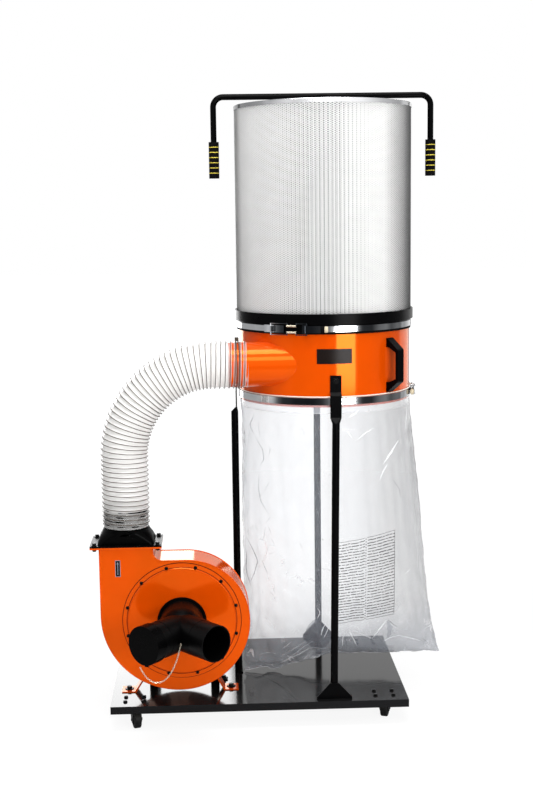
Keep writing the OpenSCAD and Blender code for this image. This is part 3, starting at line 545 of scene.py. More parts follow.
def makeFilterMesh(v):
    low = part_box("filter_end_ring")[1].z - v["lip"]
    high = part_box("filter_cap")[0].z + v["lip"]
    halfTurn, step = pi / v["columns"], (high - low) / v["rows"]
    verts, faces = [], []

    def point(column, row, edge):
        # edge is -1 for a strand's lower edge and 1 for its upper one, which stands out further
        a = (column + (0.5 if row % 2 else 0.0)) * 2 * halfTurn
        r = v["radius"] + edge * v["tilt"]
        return (drumAxis.x + r * cos(a), drumAxis.y + r * sin(a),
                low + row * step + edge * v["strand"] / 2)

    for row in range(v["rows"]):
        for column in range(v["columns"]):
            # from each crossing one strand climbs to the right and one to the left
            right = column if row % 2 == 0 else column + 1
            for end in (right, right - 1):
                first = len(verts)
                verts += [point(column, row, -1), point(end, row + 1, -1), point(end, row + 1, 1),
                          point(column, row, 1)]
                strand = (first, first + 1, first + 2, first + 3)
                faces.append(strand if end == right else strand[::-1])
    addPiece("filterMesh", [(verts, faces)], "meshSteel", smooth=0)


makeFilterMesh(filterMesh)
print("filter mesh made")

# the hose's bend and its turn to the side, its run into the pipe, and the coil of wire in its film
hose = {"bend": 0.250, "turn": 1.45, "run": 0.098, "first": 0.004, "pitch": 0.0133, "valley": 0.0622,
        "ridge": 0.0648, "sharp": 1.6, "slack": 0.0006, "slackAt": 0.06, "slackScale": 40, "steps": 10,
        "around": 72, "wire": 0.0011, "proud": 0.0006, "wireSteps": 40}


def makeHose(v):
    start = Vector((outletMiddle.x, outletMiddle.y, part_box("hose")[0].z))
    bend, pitch = v["bend"], v["pitch"]
    upright = pipeLow.z + (pipeHigh.z - pipeLow.z) / 2 - bend - start.z
    arc = bend * pi / 2
    total = upright + arc + v["run"]
    along = Matrix.Rotation(radians(v["turn"]), 4, "Z")

    def centre(s):
        # a point on the middle line, and the direction across it in the hose's plane
        if s < upright:
            return (0, 0, s), (-1, 0, 0)
        if s < upright + arc:
            a = (s - upright) / bend
            return (bend * (1 - cos(a)), 0, upright + bend * sin(a)), (-cos(a), 0, sin(a))
        return (bend + s - upright - arc, 0, upright + bend), (0, 0, 1)

    def at(s, a, r):
        c, across = centre(s)
        local = Vector(c) + r * (cos(a) * Vector(across) + sin(a) * Vector((0, 1, 0)))
        return tuple(start + along @ local)

    steps, around = int(total / pitch * v["steps"]), v["around"]
    verts = []
    for i in range(steps + 1):
        s = total * i / steps
        for k in range(around):
            a = 2 * pi * k / around
            phase = (s - v["first"]) / pitch - k / around
            ridge = (0.5 + 0.5 * cos(2 * pi * phase)) ** v["sharp"]
            slack = v["slack"] * noise.noise(Vector(at(s, a, v["slackAt"])) * v["slackScale"])
            verts.append(at(s, a, v["valley"] + (v["ridge"] - v["valley"]) * ridge + slack * (1 - ridge)))
    film = addPiece("hoseFilm", [(verts, tubeFaces(steps + 1, around))], "hoseFilm", smooth=180)
    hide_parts("hose")
    turns, n = int((total - 2 * v["first"]) / pitch), v["wireSteps"]
    line = [at(v["first"] + pitch * i / n, 2 * pi * i / n, v["ridge"] + v["proud"])
            for i in range(turns * n + 1)]
    wire = addPiece("hoseWire", [sweep(line, v["wire"])], "wireSteel", smooth=180)
    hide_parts("hose_wire")


makeHose(hose)
print("hose made")

# the dust bag; each ring: height, shift to the right, half width, half depth, shift to the front, drop of the
# left side. held is how firmly its seam is held, edge how wide its held edge is, curl where its left side
# begins to drop, over how much; posts are their places from the drum's middle
bag = {"around": 168, "rows": 116, "slack": 0.012, "frames": 26, "cap": 0.03, "give": 0.45, "hem": 0.883,
       "held": 0.9, "edge": 0.004, "curl": (0.05, 0.23), "deckClear": 0.002, "postClear": 0.0135,
       "rings": [(0.930, 0.000, 0.2484, 0.2484, 0.000, 0.000), (0.896, 0.000, 0.2484, 0.2484, 0.000, 0.000),
                 (0.860, 0.003, 0.2480, 0.2470, 0.000, 0.000), (0.761, 0.012, 0.2530, 0.2420, 0.000, 0.000),
                 (0.579, 0.022, 0.2680, 0.2280, 0.000, 0.000), (0.457, 0.028, 0.2720, 0.2200, 0.000, 0.000),
                 (0.333, 0.034, 0.2770, 0.2080, 0.000, 0.005), (0.240, 0.038, 0.2850, 0.1700, 0.005, 0.015),
                 (0.190, 0.042, 0.2890, 0.1220, 0.014, 0.025), (0.155, 0.045, 0.2920, 0.0680, 0.023, 0.035),
                 (0.135, 0.046, 0.2920, 0.0220, 0.031, 0.042), (0.124, 0.046, 0.2910, 0.0012, 0.035, 0.044)],
       "posts": [(0.0, -0.263), (0.0, 0.263), (-0.263, 0.0)]}
# its crumples: how each kind of noise is scaled and shifted, and its amounts everywhere, low down and low on
# the left; where those places begin and over how much they grow; and how far below the hem the film is smooth
crumples = {"fine": (13, (3, 1, 7)), "ridges": (0.9, 2.1, 4, 0.9, 2.0), "level": 1.2,
            "fineAmounts": (0.0028, 0.004, 0.009), "big": (22, (5, 5, 5)), "bigAmounts": (0.002, 0, 0.006),
            "low": (0.30, 0.2), "left": (-0.02, 0.2), "smooth": 0.05}
# how the film behaves as cloth
clothLook = {"quality": 5, "mass": 0.15, "air_damping": 2.0, "time_scale": 0.8, "tension_stiffness": 30,
             "compression_stiffness": 30, "shear_stiffness": 20, "bending_stiffness": 0.6,
             "tension_damping": 10, "compression_damping": 10, "shear_damping": 10, "bending_damping": 0.5,
             "pin_stiffness": 20, "use_pressure": True, "uniform_pressure_force": 0.12}


def share(value):
    # held between 0 and 1
    return min(max(value, 0), 1)


def bagPoint(v, down, turn):
    # the film before it slackens: down runs from 0 at the collar to 1 at the seam
    rings = np.array(v["rings"])
    length = np.concatenate([[0], np.cumsum(np.hypot(np.diff(rings[:, 0]), np.diff(rings[:, 3])))])
    z, shift, wide, deep, front, drop = (np.interp(down * length[-1], length, rings[:, k]) for k in range(6))
    x = shift + wide * cos(turn)
    left = share((v["curl"][0] - x) / v["curl"][1])
    z -= drop * left * left * (3 - 2 * left)
    return (drumAxis.x + x, drumAxis.y + deep * sin(turn) - front, z)


def settleCloth(piece, pinned, frames, slack):
    # lets the film's own weight settle it between its held points
    group = piece.vertex_groups.new(name="held")
    for index, weight in pinned.items():
        group.add([index], weight, "REPLACE")
    cloth = piece.modifiers.new("cloth", "CLOTH")
    for key, value in clothLook.items():
        setattr(cloth.settings, key, value)
    cloth.settings.vertex_group_mass = "held"
    cloth.settings.shrink_min = -slack
    cloth.collision_settings.use_collision = False
    cloth.collision_settings.use_self_collision = False
    scene = bpy.context.scene
    scene.frame_end = frames
    cloth.point_cache.frame_end = frames
    for step in range(1, frames + 1):
        scene.frame_set(step)
    settled = piece.evaluated_get(bpy.context.evaluated_depsgraph_get()).to_mesh()
    places = np.empty(len(settled.vertices) * 3)
    settled.vertices.foreach_get("co", places)
    piece.modifiers.clear()
    piece.vertex_groups.clear()
    scene.frame_set(1)
    return places.reshape(-1, 3)


def bagFaces(rows, around):
    return [(a, d, c, b) for a, b, c, d in tubeFaces(rows, around)]


def setPoints(piece, points):
    piece.data.vertices.foreach_set("co", points.ravel())
    piece.data.update()


def makeBag(v, c):
    around, rows = v["around"], v["rows"]
    verts = [bagPoint(v, row / rows, 2 * pi * (k + 0.5) / around) for row in range(rows + 1)
             for k in range(around)]
    piece = addPiece("dustBag", [(verts, bagFaces(rows + 1, around))], "bagFilm", smooth=180)
    start = np.array(verts)
    top = v["hem"] - v["edge"]
    held = {index: 1.0 if at[2] > top else v["held"] for index, at in enumerate(verts)
            if at[2] > top or index // around == rows}
    step = settleCloth(piece, held, v["frames"], v["slack"]) - start
    size = np.linalg.norm(step, axis=1, keepdims=True)
    start += step * v["give"] * np.minimum(1, v["cap"] / np.maximum(size, tiny))
    setPoints(piece, start)
    normals = np.empty(len(verts) * 3)
    piece.data.vertex_normals.foreach_get("vector", normals)
    # fine crumples, stronger where the film bunches low on the left
    (fineScale, fineShift), (bigScale, bigShift) = c["fine"], c["big"]
    shift = np.zeros(len(verts))
    for index, at in enumerate(start):
        p = Vector(at)
        low = share((c["low"][0] - p.z) / c["low"][1])
        left = low * share((drumAxis.x + c["left"][0] - p.x) / c["left"][1])
        fine = noise.ridged_multi_fractal(p * fineScale + Vector(fineShift), *c["ridges"]) - c["level"]
        big = noise.noise(p * bigScale + Vector(bigShift))
        amounts = [np.dot(c[kind], (1, low, left)) for kind in ("fineAmounts", "bigAmounts")]
        shift[index] = share((v["hem"] - p.z) / c["smooth"]) * np.dot(amounts, (fine, big))
    start += normals.reshape(-1, 3) * shift[:, None]
    # the film rests on the deck, and the posts stand clear of it
    start[:, 2] = np.maximum(start[:, 2], deckHigh.z + v["deckClear"])
    for x, y in v["posts"]:
        away = start[:, :2] - np.array((drumAxis.x + x, drumAxis.y + y))
        near = np.linalg.norm(away, axis=1, keepdims=True)
        start[:, :2] += away * np.maximum(0, v["postClear"] / np.maximum(near, tiny) - 1)
    setPoints(piece, start)
    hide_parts("dust_bag")
    return start.reshape(rows + 1, around, 3)


bagGrid = makeBag(bag, crumples)
bagTree = BVHTree.FromPolygons([tuple(p) for p in bagGrid.reshape(-1, 3)], bagFaces(*bagGrid.shape[:2]))


def onBag(x, z, off, before=-1.0):
    # the bag's front at a place, a little outside its film, found by looking back from a point before it
    hit = bagTree.ray_cast(Vector((drumAxis.x + x, before, z)), Vector((0, 1, 0)))[0]
    return (hit.x, hit.y - off, hit.z) if hit else None


def addStrip(verts, faces, points):
    # a ribbon through pairs of points on the bag, left out where one of them misses it
    if None in points:
        return
    first = len(verts)
    verts.extend(points)
    faces.extend((i, i + 2, i + 3, i + 1) for i in range(first, first + len(points) - 2, 2))


# the bag's ruled panel in two columns: its sides, its corners' heights, its lines' thickness and the lengths
# of their dashes; thin and thick are shares of that thickness; then its edges and its middle line's ticks
panel = {"left": 0.013, "right": 0.184, "split": 0.098, "gap": 0.006, "rows": 29, "leftTop": 0.510,
         "rightTop": 0.533, "leftBottom": 0.264, "rightBottom": 0.280, "line": 0.0024, "dash": (0.006, 0.026),
         "break": 0.0022, "slope": 0.0016, "uneven": 0.003, "thin": 0.8, "thick": 1.2, "dashSteps": 3,
         "endLine": 0.5, "endSteps": 14, "edge": 0.0006, "edgeParts": 60, "overlap": 1.02,
         "tick": (0.0012, 0.0035), "off": 0.0012}


def makePanel(v):
    verts, faces = [], []

    def height(x, down):
        t = (x - v["left"]) / (v["right"] - v["left"])
        top = v["leftTop"] + (v["rightTop"] - v["leftTop"]) * t
        bottom = v["leftBottom"] + (v["rightBottom"] - v["leftBottom"]) * t
        return top + (bottom - top) * down

    def strip(x0, x1, down, thick, steps):
        places = (x0 + (x1 - x0) * i / steps for i in range(steps + 1))
        addStrip(verts, faces, [onBag(x, height(x, down) + side * thick, v["off"]) for x in places
                                for side in (-0.5, 0.5)])

    columns = ((v["left"], v["split"] - v["gap"] / 2), (v["split"] + v["gap"] / 2, v["right"]))
    spread = np.random.default_rng(4)
    (shortest, longest), (tickWide, tickTall) = v["dash"], v["tick"]
    for row in range(v["rows"] + 1):
        down = row / v["rows"]
        for x, last in columns:
            if row in (0, v["rows"]):
                strip(x, last, down, v["line"] * v["endLine"], v["endSteps"])
                continue
            # a ruled line broken into dashes of uneven length
            x += v["uneven"] * spread.random()
            while x < last - shortest / 2:
                end = min(x + shortest + (longest - shortest) * spread.random() ** 2, last)
                slope = v["slope"] * spread.standard_normal()
                thick = v["line"] * (v["thin"] + (v["thick"] - v["thin"]) * spread.random())
                strip(x, end, down + slope, thick, v["dashSteps"])
                x = end + v["break"]
        strip(v["split"] - tickWide, v["split"] + tickWide, (row + 0.5) / (v["rows"] + 1), tickTall, 1)
    parts = v["edgeParts"]
    tall = v["overlap"] * (v["leftTop"] - v["leftBottom"]) / parts
    for x in (v["left"], v["right"]):
        for i in range(parts):
            strip(x - v["edge"], x + v["edge"], (i + 0.5) / parts, tall, 1)
    print("panel strips", len(faces))
    addPiece("bagPanel", [(verts, faces)], "bagPrint", smooth=0)


makePanel(panel)

# the film's creases, laid on it as ribbons: bright ones are painted highlights, dark ones painted shade, and
# doubled ones a doubled film darkened with painted shade; each: kind, widest part, and points as (from the
# drum's middle, height)
creaseLines = [
    ("bright", 0.0022, (-0.039, 0.315), (-0.032, 0.299), (-0.040, 0.278)),
    ("bright", 0.0026, (-0.015, 0.263), (-0.025, 0.241), (-0.028, 0.222)),
    ("bright", 0.002, (-0.004, 0.256), (-0.013, 0.232), (-0.020, 0.214)),
    ("bright", 0.0024, (0.040, 0.232), (0.036, 0.205), (0.038, 0.179)),
    ("bright", 0.003, (0.053, 0.239), (0.064, 0.214), (0.080, 0.179)),
    ("bright", 0.002, (0.065, 0.239), (0.096, 0.221), (0.128, 0.199)),
    ("bright", 0.0032, (0.123, 0.204), (0.139, 0.232), (0.162, 0.263)),
    ("doubled", 0.016, (0.166, 0.261), (0.175, 0.231), (0.171, 0.198)),
    ("dark", 0.002, (0.166, 0.265), (0.180, 0.250), (0.196, 0.236)),
    ("bright", 0.0016, (0.158, 0.190), (0.176, 0.200), (0.203, 0.203)),
    ("bright", 0.0018, (0.199, 0.204), (0.243, 0.186), (0.277, 0.169)),
    ("dark", 0.0016, (0.280, 0.180), (0.292, 0.165), (0.303, 0.151)),
    ("bright", 0.003, (-0.183, 0.097), (-0.143, 0.108), (-0.096, 0.144), (-0.054, 0.174), (-0.002, 0.169)),
    ("bright", 0.0018, (-0.140, 0.134), (-0.108, 0.167), (-0.070, 0.197)),
    ("bright", 0.0016, (-0.137, 0.165), (-0.113, 0.195)),
    ("bright", 0.0016, (-0.114, 0.134), (-0.083, 0.172), (-0.048, 0.200)),
    ("dark", 0.0022, (-0.131, 0.097), (-0.096, 0.133), (-0.046, 0.164)),
    ("doubled", 0.014, (-0.118, 0.145), (-0.083, 0.178), (-0.041, 0.212)),
    ("doubled", 0.014, (-0.071, 0.239), (-0.050, 0.265), (-0.036, 0.282)),
    ("bright", 0.0065, (-0.235, 0.134), (-0.225, 0.149), (-0.220, 0.125)),
    ("bright", 0.003, (-0.273, 0.097), (-0.246, 0.091), (-0.217, 0.066)),
    ("bright", 0.0025, (-0.250, 0.102), (-0.228, 0.084), (-0.209, 0.064)),
    ("dark", 0.0025, (-0.265, 0.102), (-0.232, 0.097), (-0.206, 0.075)),
    ("dark", 0.0025, (-0.217, 0.116), (-0.202, 0.089), (-0.183, 0.079)),
    ("doubled", 0.012, (-0.250, 0.116), (-0.228, 0.106), (-0.198, 0.099)),
    ("dark", 0.0016, (0.045, 0.225), (0.045, 0.199), (0.052, 0.181)),
    ("dark", 0.0018, (-0.236, 0.809), (-0.241, 0.785), (-0.235, 0.768)),
    ("dark", 0.0015, (-0.209, 0.801), (-0.188, 0.770), (-0.185, 0.741), (-0.197, 0.721)),
    ("dark", 0.0014, (-0.209, 0.871), (-0.223, 0.831), (-0.209, 0.805)),
    ("dark", 0.0014, (-0.199, 0.691), (-0.201, 0.650), (-0.195, 0.615), (-0.174, 0.583)),
    ("dark", 0.0013, (-0.175, 0.545), (-0.168, 0.528)),
    ("bright", 0.005, (0.074, 0.889), (0.060, 0.878), (0.046, 0.870)),
    ("bright", 0.0025, (0.042, 0.832), (0.056, 0.813)),
    ("bright", 0.0025, (0.067, 0.804), (0.096, 0.825), (0.120, 0.836)),
    ("bright", 0.006, (0.196, 0.790), (0.171, 0.759), (0.148, 0.730)),
    ("bright", 0.004, (0.161, 0.728), (0.148, 0.709), (0.137, 0.685)),
    ("bright", 0.002, (0.229, 0.887), (0.225, 0.842), (0.223, 0.808)),
    ("dark", 0.0014, (0.179, 0.679), (0.199, 0.650), (0.203, 0.624)),
    ("bright", 0.003, (0.254, 0.567), (0.294, 0.545)),
    ("bright", 0.0022, (-0.193, 0.519), (-0.177, 0.475), (-0.194, 0.428)),
    ("dark", 0.0022, (-0.237, 0.496), (-0.221, 0.470), (-0.205, 0.434), (-0.214, 0.397), (-0.228, 0.359)),
    ("dark", 0.0018, (-0.235, 0.455), (-0.238, 0.390), (-0.225, 0.348)),
    ("dark", 0.0015, (-0.194, 0.440), (-0.178, 0.402))]

# how a crease is drawn: steps between points, rounds of smoothing, taper, distance off the film, unevenness
# and wander, and how quickly these two change along a line and from line to line
creaseLook = {"steps": 8, "smooth": 3, "taper": 0.7, "end": 0.03, "off": 0.0014, "uneven": 0.6,
              "unevenScale": (0.9, 3.7, 0.4), "wander": 0.0012, "wanderScale": (0.7, 1.9, 8.1)}


def makeCreaseLines(v):
    made = {}

    def rough(scale, *place):
        return noise.noise(Vector([s * p for s, p in zip(scale, place)]))

    for number, (kind, width, *points) in enumerate(creaseLines):
        steps = v["steps"] * (len(points) - 1)
        along = np.linspace(0, len(points) - 1, steps + 1)
        line = np.column_stack([np.interp(along, range(len(points)), column) for column in zip(*points)])
        for _ in range(v["smooth"]):
            line[1:-1] = (line[:-2] + line[1:-1] * 2 + line[2:]) / 4
        edges = []
        for i, (x, z) in enumerate(line):
            before, after = line[max(i - 1, 0)], line[min(i + 1, steps)]
            away = np.array((before[1] - after[1], after[0] - before[0]))
            away /= max(np.linalg.norm(away), tiny)
            t = min(max(i / steps, v["end"]), 1 - v["end"])
            uneven = 1 + v["uneven"] * rough(v["unevenScale"], i, number, 1)
            half = width / 2 * sin(pi * t) ** v["taper"] * uneven
            shift = v["wander"] * rough(v["wanderScale"], i, number, 1)
            for out in (shift - half, shift + half):
                edges.append(onBag(x + away[0] * out, z + away[1] * out, v["off"]))
        addStrip(*made.setdefault(kind, ([], [])), edges)
    for kind, shape in made.items():
        print("creases", kind, len(shape[1]))
        addPiece("bagCreases." + kind, [shape], "crease" + kind.capitalize(), smooth=180)


makeCreaseLines(creaseLook)

# the bag's rolled top edge and its line of stitches: height, thickness, distance off the film and finish; and
# the thickness of its bottom seam
hems = {"bagHem.top": (0.929, 0.0016, 0.0008, "hemFilm"),
        "bagHem.stitch": (bag["hem"], 0.0007, 0.0002, "filmEdge")}
seamThick = 0.0011


def makeHems(grid):
    for name, (z, thick, off, finish) in hems.items():
        row = int(np.argmin(np.abs(grid[:, :, 2].mean(axis=1) - z)))
        line = []
        for x, y, _ in grid[row]:
            away = Vector((x - drumAxis.x, y - drumAxis.y, 0))
            line.append(Vector((drumAxis.x, drumAxis.y, z)) + away * (1 + off / away.length))
        addPiece(name, [sweep(line, thick, closed=True)], finish, smooth=180)
    seam = [Vector(p) for p in (grid[-1] + grid[-1][::-1])[: grid.shape[1] // 2] / 2]
    addPiece("bagSeam", [sweep(seam, seamThick)], "filmEdge", smooth=180)


makeHems(bagGrid)
print("dust bag made")

# bolts: head is a head's size and height, flat the share of that size its washer has, and spin turns each
# head another way; places count from the cover's and the outlet's middles, from the deck's corners and, for
# the feet, from the frame's own middle
bolts = {"cover": {"count": 12, "first": 15, "circle": 0.157, "back": 0.003, "head": (0.0072, 0.0035),
                   "flat": 0.7, "spin": 13},
         "flange": {"x": 0.088, "y": 0.050, "thick": 0.010, "up": 0.005, "head": (0.010, 0.006), "spin": 20},
         "caster": {"x": 0.065, "y": 0.053, "dx": 0.0255, "dy": 0.0175, "head": (0.0105, 0.0035),
                    "flat": 0.62, "spin": 700},
         "feet": {"thick": 0.003, "head": (0.013, 0.008), "flat": 1.05, "spin": 900,
                  "at": [(-0.1219, -0.061), (-0.415, -0.061), (-0.1434, 0.0065), (-0.3229, 0.0065),
                         (-0.1434, 0.1445), (-0.3229, 0.1445)]},
         "posts": {"out": 0.004, "height": 0.973, "head": (0.009, 0.004),
                   "at": [(-90, 0.011), (90, 0), (180, 0)]}}


def both(value):
    return (-value, value)


def makeBolts(v):
    c, shapes = v["cover"], []
    for i in range(c["count"]):
        a = radians(c["first"] + i * 360 / c["count"])
        at = (coverMiddle.x + c["circle"] * cos(a), coverFront + c["back"],
              coverMiddle.z + c["circle"] * sin(a))
        shapes += boltAt(at, (0, -1, 0), *c["head"], c["spin"] * i, c["flat"])
    addPiece("coverBolts", shapes, "boltBlack")
    c, shapes = v["flange"], []
    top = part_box("outlet_adapter")[0].z + c["up"]
    for x in both(c["x"]):
        for y in both(c["y"]):
            at = (outletMiddle.x + x, outletMiddle.y + y)
            shapes += boltAt((*at, top), (0, 0, 1), *c["head"], c["spin"] * x)
            shapes += boltAt((*at, top - c["thick"]), (0, 0, -1), *c["head"])
    addPiece("flangeBolts", shapes, "boltBlack")
    # the casters' bolts, through the deck
    c, shapes = v["caster"], []
    for x in (deckLow.x + c["x"], deckHigh.x - c["x"]):
        for y in (deckLow.y + c["y"], deckHigh.y - c["y"]):
            for dx in both(c["dx"]):
                for dy in both(c["dy"]):
                    at = (x + dx, y + dy, deckHigh.z)
                    shapes += boltAt(at, (0, 0, 1), *c["head"], c["spin"] * dx, c["flat"])
    # the bolts of the blower's feet and of the motor's stand, each on a wide washer
    c = v["feet"]
    for x, y in c["at"]:
        at = (x, y, deckHigh.z + c["thick"])
        shapes += boltAt(at, (0, 0, 1), *c["head"], c["spin"] * x, c["flat"])
    addPiece("deckBolts", shapes, "boltBlack")
    c, shapes = v["posts"], []
    radius = drumRadius + c["out"]
    for azimuth, lean in c["at"]:
        a = radians(azimuth)
        at = Vector((drumAxis.x + radius * cos(a), drumAxis.y + radius * sin(a), c["height"]))
        shapes += boltAt(at + Vector((lean, 0, 0)), Vector((cos(a), sin(a), 0)), *c["head"])
    addPiece("postBolts", shapes, "boltBlack")


makeBolts(bolts)
print("bolts made")

# the scroll's arcs from the cover's middle: x, z and radius; the neck's width, fillet and top; how far the
# housing lies behind the cover's front, and its depth; and the cover's rings, each with its radius, how far
# it lies behind the cover's front, its thickness and its finish: a dark rubber gasket edge that also stands as
# painted shadow in the gap round the cover, a dark line of painted shade in the groove, and an orange bead
# on the step
blower = {"arcs": [(0.01275, -0.00425, 0.17725), (-0.00775, -0.00425, 0.19775), (-0.00775, 0.01625, 0.21825)],
          "neckWide": 0.148, "fillet": 0.027, "neckTop": 0.006, "bead": 0.0016, "behind": 0.0055,
          "inset": 0.0006, "depth": 0.116, "around": 120,
          "rings": [("coverRings.gasketAndShadow", 0.1662, 0.0048, 0.0010, "gripFoam"),
                    ("coverRings.grooveShade", 0.1542, 0.0028, 0.0007, "plateBlack"),
                    ("coverRings.step", 0.1502, 0.0008, 0.0013, "orangePaint")]}


def makeSeams(v):
    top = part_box("outlet_adapter")[0].z - v["neckTop"]
    (x0, z0, r0), (x1, z1, r1), (x2, z2, r2) = v["arcs"]
    neckRight = x2 - r2 + v["neckWide"]
    outline = [(coverMiddle.x + neckRight, top)]

    def arc(x, z, radius, first, last, steps=30):
        for i in range(steps + 1):
            a = radians(first + (last - first) * i / steps)
            outline.append((coverMiddle.x + x + radius * cos(a),
                            coverMiddle.z + z + radius * sin(a)))

    arc(neckRight + v["fillet"], z0 + r0 + v["fillet"], v["fillet"], 180, 270, 10)
    arc(x0, z0, r0, 90, 0)
    arc(x1, z1, r1, 0, -90)
    arc(x2, z2, r2, -90, -180)
    outline.append((coverMiddle.x + x2 - r2, top))
    front = coverFront + v["behind"]
    shapes = [sweep([(x, y, z) for x, z in outline], v["bead"])
              for y in (front + v["inset"], front + v["depth"] - v["inset"])]
    addPiece("housingSeams", shapes, "orangePaint", smooth=180)
    for name, radius, back, thick, finish in v["rings"]:
        line = [(coverMiddle.x + radius * c, coverFront + back, coverMiddle.z + radius * s)
                for c, s in circle(v["around"])]
        addPiece(name, [sweep(line, thick, closed=True)], finish, smooth=180)


makeSeams(blower)
print("blower seams made")

# raised rings round the crank's grips; each is let into the foam and stands a little proud of it
gripRings = {"count": 6, "first": 0.013, "pitch": 0.0145, "height": 0.0032, "sunk": 0.001, "proud": 0.0002,
             "soft": 0.0006, "around": 48}


def makeGripRings(v):
    for nodeName in ("grip_left", "grip_right"):
        low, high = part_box(nodeName)
        radius = (high.x - low.x) / 2
        at = Matrix.Translation(((low.x + high.x) / 2, (low.y + high.y) / 2, high.z))
        shapes = []
        for i in range(v["count"]):
            top = -v["first"] - i * v["pitch"]
            base, inner, outer = top - v["height"], radius - v["sunk"], radius + v["proud"]
            ring = [(inner, top), (outer, top - v["soft"]), (outer, base + v["soft"]), (inner, base)]
            shapes.append(moved(lathe(ring, v["around"]), at))
        addPiece(nodeName.replace("grip_", "gripRings."), shapes, "gripYellow", body="crank")


makeGripRings(gripRings)

# each latch: the azimuth of its middle, the side its lever points to, its height and the band's outer radius
latches = {"upper": (246.0, 1, 1.1155, 0.2525), "lower": (4.0, -1, 0.9160, 0.2508)}
# the lever's turn, its place and its lean; the ends of its sleeve and of its tip, each with its share of the
# full height; and how the two are rounded
latchGrip = {"turn": 7.73, "out": 0.009, "lean": 7.2, "sleeve": (0.043, 0.054, 1.0),
             "tip": (0.054, 0.0635, 0.92), "thick": 0.0066, "tall": 0.0092, "soft": 0.0012,
             "around": 28}
# the two springs on a latch's wire loop, before its middle and off the band
spring = {"before": 0.0115, "out": 0.0073, "apart": 0.0087, "radius": 0.0031, "first": -0.0052,
          "pitch": 0.0015, "wire": 0.0006, "turns": 19, "steps": 14}


def spun(degrees):
    return Matrix.Rotation(radians(degrees), 4, "Z")


def makeLatches(v, s):
    for name, (azimuth, hand, height, radius) in latches.items():
        base = (Matrix.Translation((drumAxis.x, drumAxis.y, height)) @ spun(azimuth)
                @ Matrix.Diagonal((1, hand, 1, 1)))
        lever = base @ spun(v["turn"]) @ Matrix.Translation((radius + v["out"], 0, 0)) @ spun(v["lean"])
        flat = Matrix.Diagonal((v["thick"] / v["tall"], 1, 1, 1)) @ placed((0, 0, 0), (0, 1, 0))
        for part, finish in (("sleeve", "gripFoam"), ("tip", "gripBeige")):
            start, end, size = v[part]
            full, soft = v["tall"] * size, v["soft"]
            rod = lathe([(0, start), (full - soft, start), (full, start + soft), (full, end - soft),
                         (full - soft, end), (0, end)], v["around"])
            addPiece(name + "Latch." + part, [moved(moved(rod, flat), lever)], finish, name + "_lever", 50)
        loop = (base @ Matrix.Rotation(-s["before"] / radius, 4, "Z")
                @ Matrix.Translation((radius + s["out"], 0, 0)))
        shapes = []
        for side in both(1):
            coil = [loop @ Vector((s["radius"] * cos(a), s["first"] + s["pitch"] * a / (2 * pi),
                                   side * s["apart"] + s["radius"] * sin(a)))
                    for a in (2 * pi * i / s["steps"] for i in range(s["steps"] * s["turns"]))]
            shapes.append(sweep(coil, s["wire"]))
        addPiece(name + "Latch.springs", shapes, "chainSteel", smooth=180)


makeLatches(latchGrip, spring)
print("latches made")

# the keeper chain of the inlet's cap; overlap is how much of a link's length each one adds
chain = {"from": (-0.257, -0.3095, 0.292), "to": (-0.366, -0.334, 0.240), "length": 0.198, "link": 0.0062,
         "overlap": 0.74, "wire": 0.0006, "width": 0.0032, "facing": (0.3, -1, 0.2), "around": 14}


def catenary(first, last, length, count, rounds=80, steepest=50):
    # points of a hanging line of a given length, whose curve is found by halving a range
    first, last = Vector(first), Vector(last)
    flat = Vector((last.x - first.x, last.y - first.y, 0))
    span, drop = flat.length, last.z - first.z
    target = sqrt(length ** 2 - drop ** 2)
    low, high = 0.002, 10.0
    for _ in range(rounds):
        a = (low + high) / 2
        if 2 * a * sinh(min(span / (2 * a), steepest)) > target:
            low = a
        else:
            high = a
    lowest = span / 2 - a * asinh(drop / (2 * a * sinh(span / (2 * a))))
    base = first.z - a * cosh(lowest / a)
    # even steps along the line
    start = a * sinh(-lowest / a)
    points = []
    for i in range(count + 1):
        x = lowest + a * asinh((start + length * i / count) / a)
        at = first + flat * (x / span)
        points.append(Vector((at.x, at.y, base + a * cosh((x - lowest) / a))))
    return points


def makeChain(v):
    count = int(v["length"] / v["link"] / v["overlap"])
    points = catenary(v["from"], v["to"], v["length"], count)
    straight, bend = (v["link"] - v["width"]) / 2, v["width"] / 2
    shapes = []
    for i in range(count):
        tangent = (points[i + 1] - points[i]).normalized()
        at = (points[i] + points[i + 1]) / 2
        side = tangent.cross(Vector(v["facing"])).normalized()
        if i % 2:
            side = tangent.cross(side).normalized()
        loop = [at + tangent * (straight * (1 if c > 0 else -1) + bend * c) + side * (bend * s)
                for c, s in circle(v["around"])]
        shapes.append(sweep(loop, v["wire"], closed=True))
    addPiece("capChain", shapes, "chainSteel")


makeChain(chain)

# a small plate with a plain arrow on the front of the outlet's neck: its place, how far it lies behind the
# cover's front, its size and rim; the depth at which each layer starts and its thickness; the arrow's heights
# are shares of half the plate's, and its head's width a share of its shaft's
arrowLabel = {"x": -0.433, "z": 0.4555, "behind": 0.0055, "wide": 0.0145, "tall": 0.047, "edge": 0.0014,
              "rim": (0.0, 0.0004), "plate": (0.0003, 0.0003), "arrow": (0.0005, 0.0003), "shaft": 0.0016,
              "shaftLow": 0.8, "shaftHigh": 0.62, "headLap": 0.002, "headHigh": 0.88, "headWide": 3.2}


def slab(x0, x1, z0, z1, y, thick):
    # a thin plate that faces the front
    verts = [(x, d, z) for d in (y, y - thick) for x, z in ((x0, z0), (x1, z0), (x1, z1), (x0, z1))]
    return verts, [(3, 2, 1, 0), (4, 5, 6, 7), (0, 1, 5, 4), (1, 2, 6, 5), (2, 3, 7, 6), (3, 0, 4, 7)]


